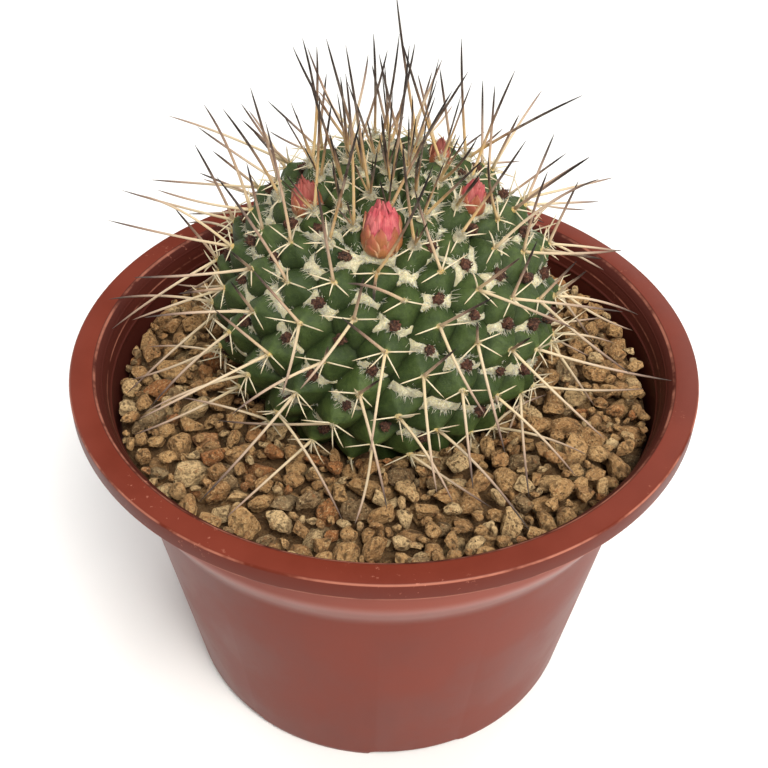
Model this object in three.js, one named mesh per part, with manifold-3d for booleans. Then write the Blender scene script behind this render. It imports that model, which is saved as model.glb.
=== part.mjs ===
// Potted round cactus: a globe of spiralled tubercles with long spines and four buds,
// bedded in coarse gravel in a red-brown plastic nursery pot.
// Millimetres, +Z up, origin on the table under the middle of the pot.
import * as THREE from 'three';
import { mergeVertices } from 'three/addons/utils/BufferGeometryUtils.js';
import { ConvexHull } from 'three/addons/math/ConvexHull.js';
import Module from 'manifold-3d';

const wasm = await Module();
wasm.setup();

// Pot: rim, the collar that hangs from it, neck, shoulder, tapering wall, floor and feet
const rim = { radius: 90, top: 114, inner: 82.2, collarFoot: 108.5, collarWall: 2, plate: 2.2 };
const neck = { topRadius: 81, footRadius: 80.3, foot: 92.5 };
const wall = { footRadius: 62.8, topRadius: 75.3, top: 81, thickness: 1.8 };
const floor = { underside: 2.6, top: 4.6, skirtInner: 57.5 };
const feet = { count: 6, height: 1.4, archDegrees: 28, firstArch: -79 };
const drain = { count: 6, radius: 4.5, ring: 38, middleRadius: 6, sides: 10 };
const potSides = 40;

// Clearance between pieces that rest on each other
const gap = 0.3;

// Plant body: a globe a little wider than tall, leaning slightly to the front
const plant = {
  centre: new THREE.Vector3(0, 7.9, 125.2),
  radius: 50.1,
  halfHeight: 44.7,
  leanForward: 8.2,
  leanSide: -1.1,
};
// Tubercles: one every golden angle, small at the crown and full size down the sides
const tubercles = {
  count: 174,
  turnDegrees: -137.533,
  firstAzimuth: 72.8,
  fullArea: 182.5,
  crownShare: 0.194,
  growSteps: 36.7,
  heightPerSpacing: 0.6,
  shoulderAt: 0.62,
  shoulderDrop: 0.15,
};
// Smooth old base of the plant and its root, set back from the tubercles
const base = { centreY: 11, cut: 96.5, topRadius: 31, footRadius: 27, foot: 88.6 };
const root = { topRadius: 12, tipRadius: 5.5, tip: 70 };

// Gravel: a bed over the soil, with loose stones on it
const bed = { foot: 88.3, top: 97.5, plantClearance: 1.1 };
const stones = { count: 106, middle: 99.2, largest: 7.9, smallest: 5.8, flattest: 0.6 };

// Spines: half thickness at the root, how deep and how far apart the roots on a tubercle
// are, the length over which a spine is curved, and the lengths of the three kinds.
// The way down the globe is 0 at the crown and 1 at the foot. The upper ones are half as
// long at one place on it, and past another few tubercles have one. The lower ones start
// at one place on it, and from another on every tubercle has one.
const spine = {
  central: 0.58,
  radial: 0.42,
  sink: 2,
  spread: 0.58,
  bentOver: 25,
  upper: { shortest: 24, longest: 44, halfAt: 0.4, until: 0.42, shareBelow: 0.2 },
  lower: { shortest: 24, longest: 38, from: 0.16, everyFrom: 0.36 },
  side: { shortest: 4.6, longest: 6.8 },
  aboveGravel: 3.5,
  tries: 34,
};

// Dried flowers: which tubercles can have one above them, how many do, their size and depth
const dried = { first: 33, last: 125, share: 0.2, radius: 2.2, depth: 5.6, aboveGravel: 4 };

// Buds: place on the globe from the crown, size, and how many petals each shows
const budSeatDepth = 6.6;
const buds = [
  { name: 'front', polar: 24.8, azimuth: -91.6, radius: 5.4, length: 18, petals: 7 },
  { name: 'left', polar: 27.5, azimuth: -171, radius: 4.2, length: 13, petals: 6 },
  { name: 'right', polar: 31, azimuth: -4, radius: 3.8, length: 13, petals: 6 },
  { name: 'back', polar: 30, azimuth: 48, radius: 3.3, length: 11, petals: 5 },
];

const finishes = {
  pot: { color: 0x8a4032, roughness: 0.42, metalness: 0 },
  soil: { color: 0x3b2c20, roughness: 1, metalness: 0 },
  gravel: { color: 0xa98a58, roughness: 0.95, metalness: 0 },
  cactus: { color: 0x3c5f3a, roughness: 0.6, metalness: 0 },
  sepals: { color: 0xa8653a, roughness: 0.6, metalness: 0 },
  petals: { color: 0xcf4f62, roughness: 0.55, metalness: 0 },
};

const degrees = THREE.MathUtils.degToRad;
const object = new THREE.Group();

function addPiece(name, geometry, finish) {
  const mesh = new THREE.Mesh(geometry, new THREE.MeshStandardMaterial(finish));
  mesh.name = name;
  object.add(mesh);
}

// Seeded random draws, so that every run gives the same plant
function seededRandom(seed) {
  let state = seed >>> 0;
  return () => {
    state = (state + 0x6d2b79f5) >>> 0;
    let t = state;
    t = Math.imul(t ^ (t >>> 15), t | 1);
    t ^= t + Math.imul(t ^ (t >>> 7), t | 61);
    return ((t ^ (t >>> 14)) >>> 0) / 4294967296;
  };
}

function toSolid(geometry) {
  const bare = geometry.index ? geometry.clone() : mergeVertices(geometry.clone());
  bare.deleteAttribute('normal');
  bare.deleteAttribute('uv');
  const welded = mergeVertices(bare, 1e-5);
  const corners = Array.from(welded.index.array);
  const faces = [];
  for (let i = 0; i < corners.length; i += 3) {
    const [a, b, c] = corners.slice(i, i + 3);
    if (a !== b && b !== c && c !== a) faces.push(a, b, c);
  }
  return new wasm.Manifold(new wasm.Mesh({
    numProp: 3,
    vertProperties: new Float32Array(welded.attributes.position.array),
    triVerts: new Uint32Array(faces),
  }));
}

function toGeometry(solid) {
  const mesh = solid.getMesh();
  const geometry = new THREE.BufferGeometry();
  geometry.setAttribute('position', new THREE.BufferAttribute(mesh.vertProperties, 3));
  geometry.setIndex(new THREE.BufferAttribute(mesh.triVerts, 1));
  geometry.computeVertexNormals();
  return geometry;
}

// Keeps the main body alone: sealed hollows are filled and loose scraps dropped
function onePiece(solid) {
  const pieces = solid.decompose();
  return pieces.reduce((best, piece) => (piece.volume() > best.volume() ? piece : best));
}

function fromFaces(points, faces) {
  const geometry = new THREE.BufferGeometry();
  const places = points.flatMap((point) => point.toArray());
  geometry.setAttribute('position', new THREE.Float32BufferAttribute(places, 3));
  geometry.setIndex(faces);
  return geometry;
}

// A turned shape about the Z axis, from [radius, height] pairs that run anticlockwise
function turned(profile, sides) {
  const points = profile.map(([r, z]) => new THREE.Vector2(r, z));
  return new THREE.LatheGeometry(points, sides).rotateX(Math.PI / 2);
}

// Radius of a profile at a height, along its straight stretches
function radiusAt(profile, height) {
  for (let i = 0; i + 1 < profile.length; i += 1) {
    const [r0, z0] = profile[i];
    const [r1, z1] = profile[i + 1];
    if ((height - z0) * (height - z1) > 0) continue;
    return r0 + ((r1 - r0) * (height - z0)) / (z1 - z0);
  }
  return profile[profile.length - 1][0];
}

// The pot's inner face from the floor up; the soil and the gravel bed follow it too
const taper = (wall.topRadius - wall.footRadius) / wall.top;
const innerWallAt = (z) => wall.footRadius + taper * z - wall.thickness;
const innerFace = [
  [innerWallAt(floor.top) - 3.2, floor.top],
  [innerWallAt(floor.top + 3) - 0.2, floor.top + 3],
  [innerWallAt(wall.top), wall.top],
  [neck.footRadius - wall.thickness - 0.9, neck.foot - 3],
  [neck.footRadius - wall.thickness, neck.foot],
  [rim.inner - 2.6, rim.top - 4.5],
  [rim.inner - 2, rim.top - 2],
  [rim.inner, rim.top],
];

function potShape() {
  const outerWallAt = (z) => wall.footRadius + taper * z;
  const collarInner = rim.radius - rim.collarWall;
  const outline = [
    [0, floor.underside],
    [floor.skirtInner, floor.underside],
    [floor.skirtInner + 0.8, 0],
    [wall.footRadius - 1.4, 0],
    [outerWallAt(2), 2],
    [wall.topRadius, wall.top],
    [wall.topRadius + 1.2, wall.top + 3],
    [neck.footRadius - 1, neck.foot - 3],
    [neck.footRadius, neck.foot],
    [neck.topRadius, rim.top - rim.plate],
    [collarInner - 0.6, rim.top - rim.plate],
    [collarInner, rim.collarFoot],
    [rim.radius, rim.collarFoot],
    [rim.radius, rim.top - 0.9],
    [rim.radius - 0.8, rim.top],
    ...[...innerFace].reverse(),
    [0, floor.top],
  ];
  let pot = toSolid(turned(outline, potSides));

  const arch = degrees(feet.archDegrees);
  const sector = new THREE.Shape();
  sector.absarc(0, 0, wall.footRadius + 4, -arch / 2, arch / 2, false);
  sector.absarc(0, 0, floor.skirtInner - 3, arch / 2, -arch / 2, true);
  for (let i = 0; i < feet.count; i += 1) {
    const depth = 2 * feet.height;
    const cut = new THREE.ExtrudeGeometry(sector, { depth, bevelEnabled: false, curveSegments: 4 });
    cut.translate(0, 0, -feet.height).rotateZ(degrees(feet.firstArch + (i * 360) / feet.count));
    pot = pot.subtract(toSolid(cut));
  }

  for (let i = 0; i <= drain.count; i += 1) {
    const middle = i === drain.count;
    const radius = middle ? drain.middleRadius : drain.radius;
    const hole = new THREE.CylinderGeometry(radius, radius, 12, drain.sides).rotateX(Math.PI / 2);
    hole.translate(middle ? 0 : drain.ring, 0, floor.top).rotateZ((i * 2 * Math.PI) / drain.count);
    pot = pot.subtract(toSolid(hole));
  }
  return pot;
}

// From the globe's own frame, a unit ball, to the object's frame
const lean = new THREE.Matrix4().makeRotationFromEuler(
  new THREE.Euler(degrees(plant.leanForward), degrees(plant.leanSide), 0, 'YXZ'),
);
const plantAxis = new THREE.Vector3(0, 0, 1).applyMatrix4(lean);

function onGlobe(direction, depth = 0) {
  const across = plant.radius - depth;
  const along = plant.halfHeight - depth;
  return new THREE.Vector3(direction.x * across, direction.y * across, direction.z * along)
    .applyMatrix4(lean)
    .add(plant.centre);
}

function outwardAt(direction) {
  return new THREE.Vector3(
    direction.x / plant.radius,
    direction.y / plant.radius,
    direction.z / plant.halfHeight,
  ).applyMatrix4(lean).normalize();
}

function ballPoint(polar, azimuth) {
  return new THREE.Vector3(
    Math.sin(polar) * Math.cos(azimuth),
    Math.sin(polar) * Math.sin(azimuth),
    Math.cos(polar),
  );
}

// Polar angles at which the globe's cap reaches each of the growing areas in turn
function polarAngles(areas) {
  const steps = 4000;
  const angles = [];
  let covered = 0;
  let wanted = 0;
  for (let k = 0; k < steps && wanted < areas.length; k += 1) {
    const t = ((k + 0.5) * Math.PI) / steps;
    const slope = Math.hypot(plant.radius * Math.cos(t), plant.halfHeight * Math.sin(t));
    covered += 2 * Math.PI * plant.radius * Math.sin(t) * slope * (Math.PI / steps);
    while (wanted < areas.length && covered >= areas[wanted]) {
      angles.push(t);
      wanted += 1;
    }
  }
  return angles;
}

// Every growing point: tubercles in their spiral, and the buds, which push them aside
function growingPoints() {
  const lack = 1 - tubercles.crownShare;
  const grow = tubercles.growSteps;
  const places = Array.from({ length: tubercles.count }, (_, i) => i + 0.5);
  const areas = places.map((n) => tubercles.fullArea * (n - lack * grow * (1 - Math.exp(-n / grow))));
  const polar = polarAngles(areas);
  const budPoints = buds.map((bud) => ({
    bud,
    direction: ballPoint(degrees(bud.polar), degrees(bud.azimuth)),
    spacing: 2 * bud.radius,
  }));
  const points = polar.map((t, i) => {
    const direction = ballPoint(t, degrees(tubercles.firstAzimuth + tubercles.turnDegrees * i));
    for (const { bud, direction: seat } of budPoints) {
      const away = direction.angleTo(seat);
      const room = (bud.radius + 3.2) / plant.radius;
      if (away < room) {
        const turnAxis = new THREE.Vector3().crossVectors(seat, direction).normalize();
        direction.copy(seat).applyAxisAngle(turnAxis, room);
      }
    }
    const area = tubercles.fullArea * (1 - lack * Math.exp(-i / grow));
    return { index: i, direction, spacing: Math.sqrt(area), polar: t };
  });
  return [...points, ...budPoints];
}

const growing = growingPoints();

// The globe's skin: round each growing point a cell that rises from the grooves to its tip
function tubercleSkin() {
  const cells = new Map(growing.map((point) => [point.direction, { point, corners: [] }]));
  const hull = new ConvexHull().setFromPoints(growing.map((point) => point.direction));
  const grooves = hull.faces.map((face) => {
    const rims = [face.edge, face.edge.next, face.edge.prev].map((edge) => edge.head().point);
    return { face, rims, group: null };
  });
  const byFace = new Map(grooves.map((groove) => [groove.face, groove]));

  // Grooves that nearly meet become one crossing of four tubercles
  const crossings = [];
  for (const groove of grooves) {
    const spacing = groove.rims.reduce((sum, middle) => sum + cells.get(middle).point.spacing / 3, 0);
    let near = null;
    for (const edge of [groove.face.edge, groove.face.edge.next, groove.face.edge.prev]) {
      const other = byFace.get(edge.twin.face);
      const apart = groove.face.normal.distanceTo(other.face.normal) * plant.radius;
      if (other.group && other.group.size < 2 && apart < 0.3 * spacing) near = other.group;
    }
    if (near) {
      near.direction.add(groove.face.normal).normalize();
      near.size += 1;
    } else {
      near = { direction: groove.face.normal.clone(), size: 1, depth: 0, id: crossings.length };
      crossings.push(near);
    }
    groove.group = near;
    near.depth = Math.max(near.depth, tubercles.heightPerSpacing * spacing);
  }

  const points = crossings.map((crossing) => onGlobe(crossing.direction, crossing.depth));
  const faces = [];
  for (const { point } of cells.values()) {
    const touching = grooves.filter((groove) => groove.rims.includes(point.direction));
    const around = new Set(touching.map((groove) => groove.group));
    const axis = point.direction;
    const start = new THREE.Vector3(0.3, -0.2, 0.9).cross(axis).normalize();
    const across = new THREE.Vector3().crossVectors(axis, start);
    const turn = (crossing) => Math.atan2(crossing.direction.dot(across), crossing.direction.dot(start));
    const corners = [...around].sort((a, b) => turn(a) - turn(b));
    const height = tubercles.heightPerSpacing * point.spacing;
    const floorDepth = point.bud ? Math.max(...corners.map((corner) => corner.depth)) : 0;
    const tip = points.length;
    points.push(onGlobe(axis, floorDepth));
    corners.forEach((corner) => {
      const shoulder = axis.clone().lerp(corner.direction, tubercles.shoulderAt).normalize();
      points.push(onGlobe(shoulder, point.bud ? floorDepth : tubercles.shoulderDrop * height));
    });
    point.facets = [];
    corners.forEach((corner, k) => {
      const next = (k + 1) % corners.length;
      point.facets.push([points[tip], points[tip + 1 + k], points[tip + 1 + next]]);
      faces.push(tip, tip + 1 + k, tip + 1 + next);
      faces.push(tip + 1 + k, corner.id, corners[next].id);
      faces.push(tip + 1 + k, corners[next].id, tip + 1 + next);
    });
  }
  return toSolid(fromFaces(points, faces));
}

const skin = tubercleSkin();

// Directions at a tubercle: straight out, up towards the crown, and sideways
function bearings(direction) {
  const out = outwardAt(direction);
  const up = plantAxis.clone().addScaledVector(out, -plantAxis.dot(out)).normalize();
  return { out, up, side: new THREE.Vector3().crossVectors(out, up) };
}

function aim({ out, up, side }, outShare, upShare, sideShare) {
  return new THREE.Vector3()
    .addScaledVector(out, outShare)
    .addScaledVector(up, upShare)
    .addScaledVector(side, sideShare)
    .normalize();
}

// The line of one bud, from its seat in the globe to its tip
function budLine(bud) {
  const direction = ballPoint(degrees(bud.polar), degrees(bud.azimuth));
  const seat = onGlobe(direction, budSeatDepth);
  const axis = outwardAt(direction).multiplyScalar(0.5).add(new THREE.Vector3(0, 0, 1)).normalize();
  return { seat, axis, tip: seat.clone().addScaledVector(axis, bud.length) };
}

// The middle line of a spine: its root on the skin, its bend and its tip
function spineLine({ from, aimed, length, droop }) {
  const bend = from.clone().addScaledVector(aimed, length / 2);
  bend.z += droop * length;
  return [from, bend, from.clone().addScaledVector(aimed, length)];
}

// Closest distance between two straight stretches
function apart(a0, a1, b0, b1) {
  const [u, v, w] = [a1.clone().sub(a0), b1.clone().sub(b0), a0.clone().sub(b0)];
  const [uu, uv, vv, uw, vw] = [u.dot(u), u.dot(v), v.dot(v), u.dot(w), v.dot(w)];
  const clampShare = (value) => Math.min(1, Math.max(0, value));
  let s = clampShare((uv * vw - vv * uw) / Math.max(1e-9, uu * vv - uv * uv));
  const t = clampShare((uv * s + vw) / vv);
  s = clampShare((uv * t - uw) / uu);
  return w.addScaledVector(u, s).addScaledVector(v, -t).length();
}

// True where a spine would cross a bud, the rim, the pot's wall, the gravel or another spine
function blocked(candidate, placed) {
  const line = spineLine(candidate);
  const thickness = candidate.radius;
  for (const bud of buds) {
    const { seat, tip } = budLine(bud);
    const nearest = Math.min(apart(line[0], line[1], seat, tip), apart(line[1], line[2], seat, tip));
    if (nearest < bud.radius + thickness + 0.5) return true;
  }
  for (const share of [0.25, 0.5, 0.75, 1]) {
    const point = candidate.from.clone().addScaledVector(candidate.aimed, candidate.length * share);
    const reach = Math.hypot(point.x, point.y);
    if (reach > rim.radius - 2.5) return true;
    if (reach > rim.inner - 5 && point.z < rim.top + 2) return true;
    if (share > 0.4 && point.z < stones.middle + 2.5) return true;
  }
  return placed.some((other) => {
    if (other.from.distanceTo(candidate.from) > other.length + candidate.length) return false;
    const near = thickness + other.radius;
    return [0, 1].some((i) => [0, 1].some((k) => {
      const clearance = i === 0 && k === 0 ? 0.9 * near : 0.8 * near;
      return apart(line[i], line[i + 1], other.line[k], other.line[k + 1]) < clearance;
    }));
  });
}

// Bends a spine a little at a time, mostly upwards, until it is clear of everything
function bentClear(wanted, placed, random) {
  for (let tries = 0; tries < spine.tries; tries += 1) {
    const shake = 0.035 * tries;
    const turn = new THREE.Vector3(random() - 0.5, random() - 0.5, random() - 0.28);
    const aimed = wanted.aimed.clone().addScaledVector(turn, 2 * shake).normalize();
    const candidate = { ...wanted, aimed };
    if (!blocked(candidate, placed)) return { ...candidate, line: spineLine(candidate) };
  }
  return null;
}

// Where a spine stands on a facet: part of the way from the tip to the far side's middle
function rootOn([tip, left, right]) {
  return tip.clone().lerp(left.clone().add(right).divideScalar(2), spine.spread);
}

// Up to two long central spines and two short side ones on each tubercle above the gravel
function spineList() {
  const random = seededRandom(11);
  const between = (low, high) => low + (high - low) * random();
  const placed = [];
  for (const point of growing) {
    if (point.bud || onGlobe(point.direction).z < stones.middle + spine.aboveGravel) continue;
    const frame = bearings(point.direction);
    const low = point.polar / Math.PI;
    const erect = Math.min(0.4, point.polar * 0.55);
    const upperShare = 1 / (1 + (low / spine.upper.halfAt) ** 3);
    const sides = [1, -1].map((hand) => ({
      aimed: aim(frame, 0.5, between(-0.25, 0.1), hand),
      length: between(spine.side.shortest, spine.side.longest),
      radius: spine.radial,
    }));
    const upper = {
      aimed: aim(frame, 1, erect + between(-0.4, 0.45), between(-0.6, 0.6)),
      length: between(spine.upper.shortest, spine.upper.longest) * upperShare,
      radius: spine.central,
    };
    const lower = {
      aimed: aim(frame, 1, -between(0.35, 1.3) * Math.min(1, low * 3.2), between(-0.6, 0.6)),
      length: between(spine.lower.shortest, spine.lower.longest),
      radius: spine.central,
    };
    const hasUpper = low < spine.upper.until || random() < spine.upper.shareBelow;
    const lowerShare = (low - spine.lower.from) / (spine.lower.everyFrom - spine.lower.from);
    const hasLower = random() < lowerShare;
    const wanted = [...(hasUpper ? [upper] : []), ...(hasLower ? [lower] : []), ...sides];
    const free = [...point.facets];
    for (const need of wanted) {
      const alongAim = (facet) => rootOn(facet).sub(facet[0]).normalize().dot(need.aimed);
      free.sort((a, b) => alongAim(b) - alongAim(a));
      const facet = free.shift();
      if (!facet) continue;
      const rooted = { ...need, from: rootOn(facet), droop: between(-0.05, 0.09) };
      const settled = bentClear(rooted, placed, random);
      if (settled) placed.push(settled);
    }
  }
  return placed;
}

const spines = spineList();

// A three-sided needle with its root sunk in; a long one is curved by a middle joint
function needle({ line, aimed, radius, length }) {
  const [from, bend, tip] = line;
  const curved = length > spine.bentOver;
  const joints = [{ at: from.clone().addScaledVector(aimed, -spine.sink), girth: radius }];
  if (curved) joints.push({ at: bend, girth: radius * 0.72 });
  const across = new THREE.Vector3(aimed.y, -aimed.x, 0.01).normalize();
  const lift = new THREE.Vector3().crossVectors(aimed, across).normalize();
  const points = joints.flatMap(({ at, girth }) => [0, 1, 2].map((k) => {
    const angle = (k * 2 * Math.PI) / 3 + Math.PI / 2;
    return at.clone()
      .addScaledVector(across, girth * Math.cos(angle))
      .addScaledVector(lift, girth * Math.sin(angle));
  }));
  const last = points.push(tip) - 1;
  const faces = [0, 2, 1];
  for (let k = 0; k < 3; k += 1) {
    const next = (k + 1) % 3;
    if (curved) faces.push(k, next, 3 + k, next, 3 + next, 3 + k, 3 + k, 3 + next, last);
    else faces.push(k, next, last);
  }
  return toSolid(fromFaces(points, faces));
}

// The dried remnants of old flowers, in the hollow above some of the tubercles
function driedFlowers() {
  const random = seededRandom(29);
  const lumps = [];
  for (let i = dried.first; i <= dried.last; i += 1) {
    const keep = random() < dried.share;
    const hollow = growing[i].direction.clone().add(growing[i - 21].direction).normalize();
    const at = onGlobe(hollow, dried.depth);
    const clear = buds.every((bud) => {
      const { seat, tip } = budLine(bud);
      return apart(at, at.clone().add(plantAxis), seat, tip) > bud.radius + 3;
    });
    if (!keep || !clear || at.z < stones.middle + dried.aboveGravel) continue;
    const lump = new THREE.OctahedronGeometry(dried.radius).scale(1, 0.85, 1.25);
    lump.rotateX(random() * 3).rotateZ(random() * 6).translate(at.x, at.y, at.z);
    lumps.push(toSolid(lump));
  }
  return lumps;
}

function plantBase() {
  const profile = [
    [0, root.tip],
    [root.tipRadius, root.tip + 0.6],
    [root.topRadius, base.foot],
    [base.footRadius, base.foot],
    [base.topRadius, base.cut + 1],
    [0, base.cut + 1],
  ];
  return toSolid(turned(profile, 20).translate(0, base.centreY, 0));
}

// The closed shell of one bud's outside, widened by a clearance, for its socket
function budEnvelope(bud, clearance) {
  const { seat, axis } = budLine(bud);
  const sides = 8;
  const r = (bud.radius + clearance) / Math.cos(Math.PI / sides);
  const profile = [
    [0, -clearance - 0.4],
    [0.62 * r + clearance, -clearance - 0.4],
    [r, 0.2 * bud.length],
    [r, bud.length],
    [0, bud.length],
  ];
  return toSolid(alongAxis(turned(profile, sides), seat, axis));
}

function alongAxis(geometry, seat, axis) {
  const turn = new THREE.Quaternion().setFromUnitVectors(new THREE.Vector3(0, 0, 1), axis);
  return geometry.applyQuaternion(turn).translate(seat.x, seat.y, seat.z);
}

function cactusShape() {
  const above = new THREE.BoxGeometry(240, 240, 160).translate(0, 0, base.cut + 80);
  let body = skin.intersect(toSolid(above)).add(plantBase());
  for (const bud of buds) body = body.subtract(budEnvelope(bud, gap));
  const grown = [...driedFlowers(), ...spines.map(needle)];
  return onePiece(grown.reduce((whole, piece) => whole.add(piece), body));
}

// A turned shape whose rings swell and notch round the axis, as folded petals do.
// Each ring is [radius, height, how far its notches drop, how far its folds swell].
function folded(rings, folds, seat, axis, phase) {
  const sides = 2 * folds;
  const points = [new THREE.Vector3(0, 0, rings[0][1])];
  const last = rings.length - 1;
  for (const [radius, height, notch, swell] of rings.slice(1, last)) {
    for (let k = 0; k < sides; k += 1) {
      const angle = (k * 2 * Math.PI) / sides + phase;
      const crest = k % 2 === 0 ? 1 : -1;
      const r = radius * (1 + swell * crest);
      const z = height + Math.min(0, crest) * notch;
      points.push(new THREE.Vector3(r * Math.cos(angle), r * Math.sin(angle), z));
    }
  }
  points.push(new THREE.Vector3(0, 0, rings[last][1]));
  const faces = [];
  const at = (ring, k) => 1 + ring * sides + (k % sides);
  for (let k = 0; k < sides; k += 1) {
    faces.push(0, at(0, k + 1), at(0, k));
    for (let ring = 0; ring + 3 < rings.length; ring += 1) {
      faces.push(at(ring, k), at(ring, k + 1), at(ring + 1, k + 1));
      faces.push(at(ring, k), at(ring + 1, k + 1), at(ring + 1, k));
    }
    faces.push(at(last - 2, k), at(last - 2, k + 1), points.length - 1);
  }
  return alongAxis(fromFaces(points, faces), seat, axis);
}

// Sepals: a ribbed cup with a notched edge
function sepalCup(bud) {
  const { seat, axis } = budLine(bud);
  const { radius: r, length: l, petals } = bud;
  const rings = [
    [0, 0, 0, 0],
    [0.5 * r, 0, 0, 0.03],
    [0.93 * r, 0.26 * l, 0, 0.05],
    [0.9 * r, 0.62 * l, 0.14 * l, 0.06],
    [0.74 * r, 0.6 * l, 0.14 * l, 0.06],
    [0.72 * r, 0.3 * l, 0, 0.03],
    [0, 0.2 * l, 0, 0],
  ];
  return folded(rings, petals, seat, axis, 0.2);
}

// Petals: a furled bundle that stands in the cup, with a second furl at its heart
function petalBundle(bud) {
  const { seat, axis } = budLine(bud);
  const { radius: r, length: l, petals } = bud;
  const rings = [
    [0, 0.2 * l + gap + 0.1, 0, 0],
    [0.62 * r - gap, 0.34 * l, 0, 0],
    [0.64 * r - gap, 0.6 * l, 0, 0.03],
    [0.62 * r, 0.86 * l, 0.16 * l, 0.12],
    [0.4 * r, 0.76 * l, 0.02 * l, 0.1],
    [0.2 * r, 1 * l, 0.12 * l, 0.2],
    [0, 0.88 * l, 0, 0],
  ];
  return folded(rings, petals, seat, axis, 0.2 + Math.PI / (2 * petals));
}

function soilShape() {
  const inside = innerFace.filter(([, z]) => z < bed.foot - gap);
  const outline = [
    [0, floor.top + gap],
    [inside[0][0] - gap, floor.top + gap],
    ...inside.slice(1).map(([r, z]) => [r - gap, z]),
    [radiusAt(innerFace, bed.foot - gap) - gap, bed.foot - gap],
    [0, bed.foot - gap],
  ];
  const hole = [
    [0, root.tip - gap],
    [root.tipRadius + gap, root.tip - gap],
    [root.topRadius + gap, base.foot],
    [root.topRadius + gap, base.foot + 1],
    [0, base.foot + 1],
  ];
  const rootHole = toSolid(turned(hole, 20).translate(0, base.centreY, 0));
  return toSolid(turned(outline, potSides)).subtract(rootHole);
}

// How high a stone may reach at a place, so that it stays under the spines above it
function roomUnderSpines(x, y, spread) {
  let room = Infinity;
  for (const { line, radius } of spines) {
    for (let step = 0; step <= 20; step += 1) {
      const half = step < 10 ? 0 : 1;
      const point = line[half].clone().lerp(line[half + 1], step / 10 - half);
      const overhead = Math.hypot(point.x - x, point.y - y) < spread + 0.8;
      if (overhead) room = Math.min(room, point.z - radius - 0.7);
    }
  }
  return room;
}

// A broken stone: a block with its corners knocked about
function stoneShape(random, size) {
  const block = new THREE.BoxGeometry(1.25, 1.25, 1.25);
  block.deleteAttribute('normal').deleteAttribute('uv');
  const welded = mergeVertices(block);
  const corners = welded.attributes.position;
  for (let i = 0; i < corners.count; i += 1) {
    const knock = 0.78 + 0.4 * random();
    const knockAcross = 0.8 + 0.4 * random();
    corners.setXYZ(i, corners.getX(i) * knock, corners.getY(i) * knockAcross, corners.getZ(i) * knock);
  }
  const flat = stones.flattest + (0.9 - stones.flattest) * random();
  welded.scale(size, size * (0.72 + 0.28 * random()), size * flat);
  return welded.rotateX(random() - 0.5).rotateY(random() - 0.5).rotateZ(random() * 2 * Math.PI);
}

function gravelShape() {
  const random = seededRandom(5);
  const inside = (z) => [radiusAt(innerFace, z) - gap, z];
  const bedProfile = [
    [0, bed.foot],
    inside(bed.foot),
    inside(neck.foot - 3),
    inside(neck.foot),
    inside(bed.top),
    [0, bed.top],
  ];
  let gravel = toSolid(turned(bedProfile, potSides));

  // Stones fill the ring between the plant and the pot in a sunflower pattern, shaken a little
  const ringInner = 30;
  const ringOuter = innerWallAt(bed.top) + 2;
  for (let i = 0; i < stones.count; i += 1) {
    const share = (i + 0.5) / stones.count;
    const ring = ringInner ** 2 + share * (ringOuter ** 2 - ringInner ** 2);
    const radius = Math.sqrt(ring) + random() - 0.5;
    const angle = i * Math.PI * (3 - Math.sqrt(5)) + 0.08 * random();
    const size = stones.smallest + (stones.largest - stones.smallest) * random() ** 1.5;
    const [x, y] = [radius * Math.cos(angle), radius * Math.sin(angle)];
    const stone = stoneShape(random, size);
    stone.computeBoundingBox();
    const top = stone.boundingBox.max.z;
    const wanted = stones.middle + random() * 1.4 + top * 0.9;
    const highest = Math.min(wanted, roomUnderSpines(x, y, size));
    const fromPlant = Math.hypot(x - plant.centre.x, y - plant.centre.y);
    if (highest < bed.top + 0.8 || fromPlant < 39) continue;
    gravel = gravel.add(toSolid(stone.translate(x, y, highest - top)));
  }

  const potInside = [
    [0, bed.foot],
    inside(bed.foot),
    inside(neck.foot - 3),
    inside(neck.foot),
    [radiusAt(innerFace, neck.foot) - gap + 0.5, rim.top - 4],
    [0, rim.top - 4],
  ];
  const globe = new THREE.SphereGeometry(1, 24, 16).rotateX(Math.PI / 2);
  const globeRadius = plant.radius + bed.plantClearance;
  globe.scale(globeRadius, globeRadius, plant.halfHeight + bed.plantClearance).applyMatrix4(lean);
  globe.translate(plant.centre.x, plant.centre.y, plant.centre.z);
  const upper = new THREE.BoxGeometry(240, 240, 100).translate(0, 0, base.cut - 1.5 + 50);
  const baseHole = [
    [0, base.foot - 1],
    [base.footRadius + gap, base.foot - 1],
    [base.footRadius + gap, base.foot],
    [base.topRadius + gap, base.cut + 1],
    [0, base.cut + 1],
  ];
  const plantHole = toSolid(globe).intersect(toSolid(upper))
    .add(toSolid(turned(baseHole, 20).translate(0, base.centreY, 0)));
  return onePiece(gravel.intersect(toSolid(turned(potInside, potSides))).subtract(plantHole));
}

addPiece('pot', toGeometry(potShape()), finishes.pot);
addPiece('soil', toGeometry(soilShape()), finishes.soil);
addPiece('gravel', toGeometry(gravelShape()), finishes.gravel);
addPiece('cactus', toGeometry(cactusShape()), finishes.cactus);
for (const bud of buds) {
  addPiece(`bud_${bud.name}_sepals`, sepalCup(bud), finishes.sepals);
  addPiece(`bud_${bud.name}_petals`, petalBundle(bud), finishes.petals);
}

export default object;
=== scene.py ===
import math

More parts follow.
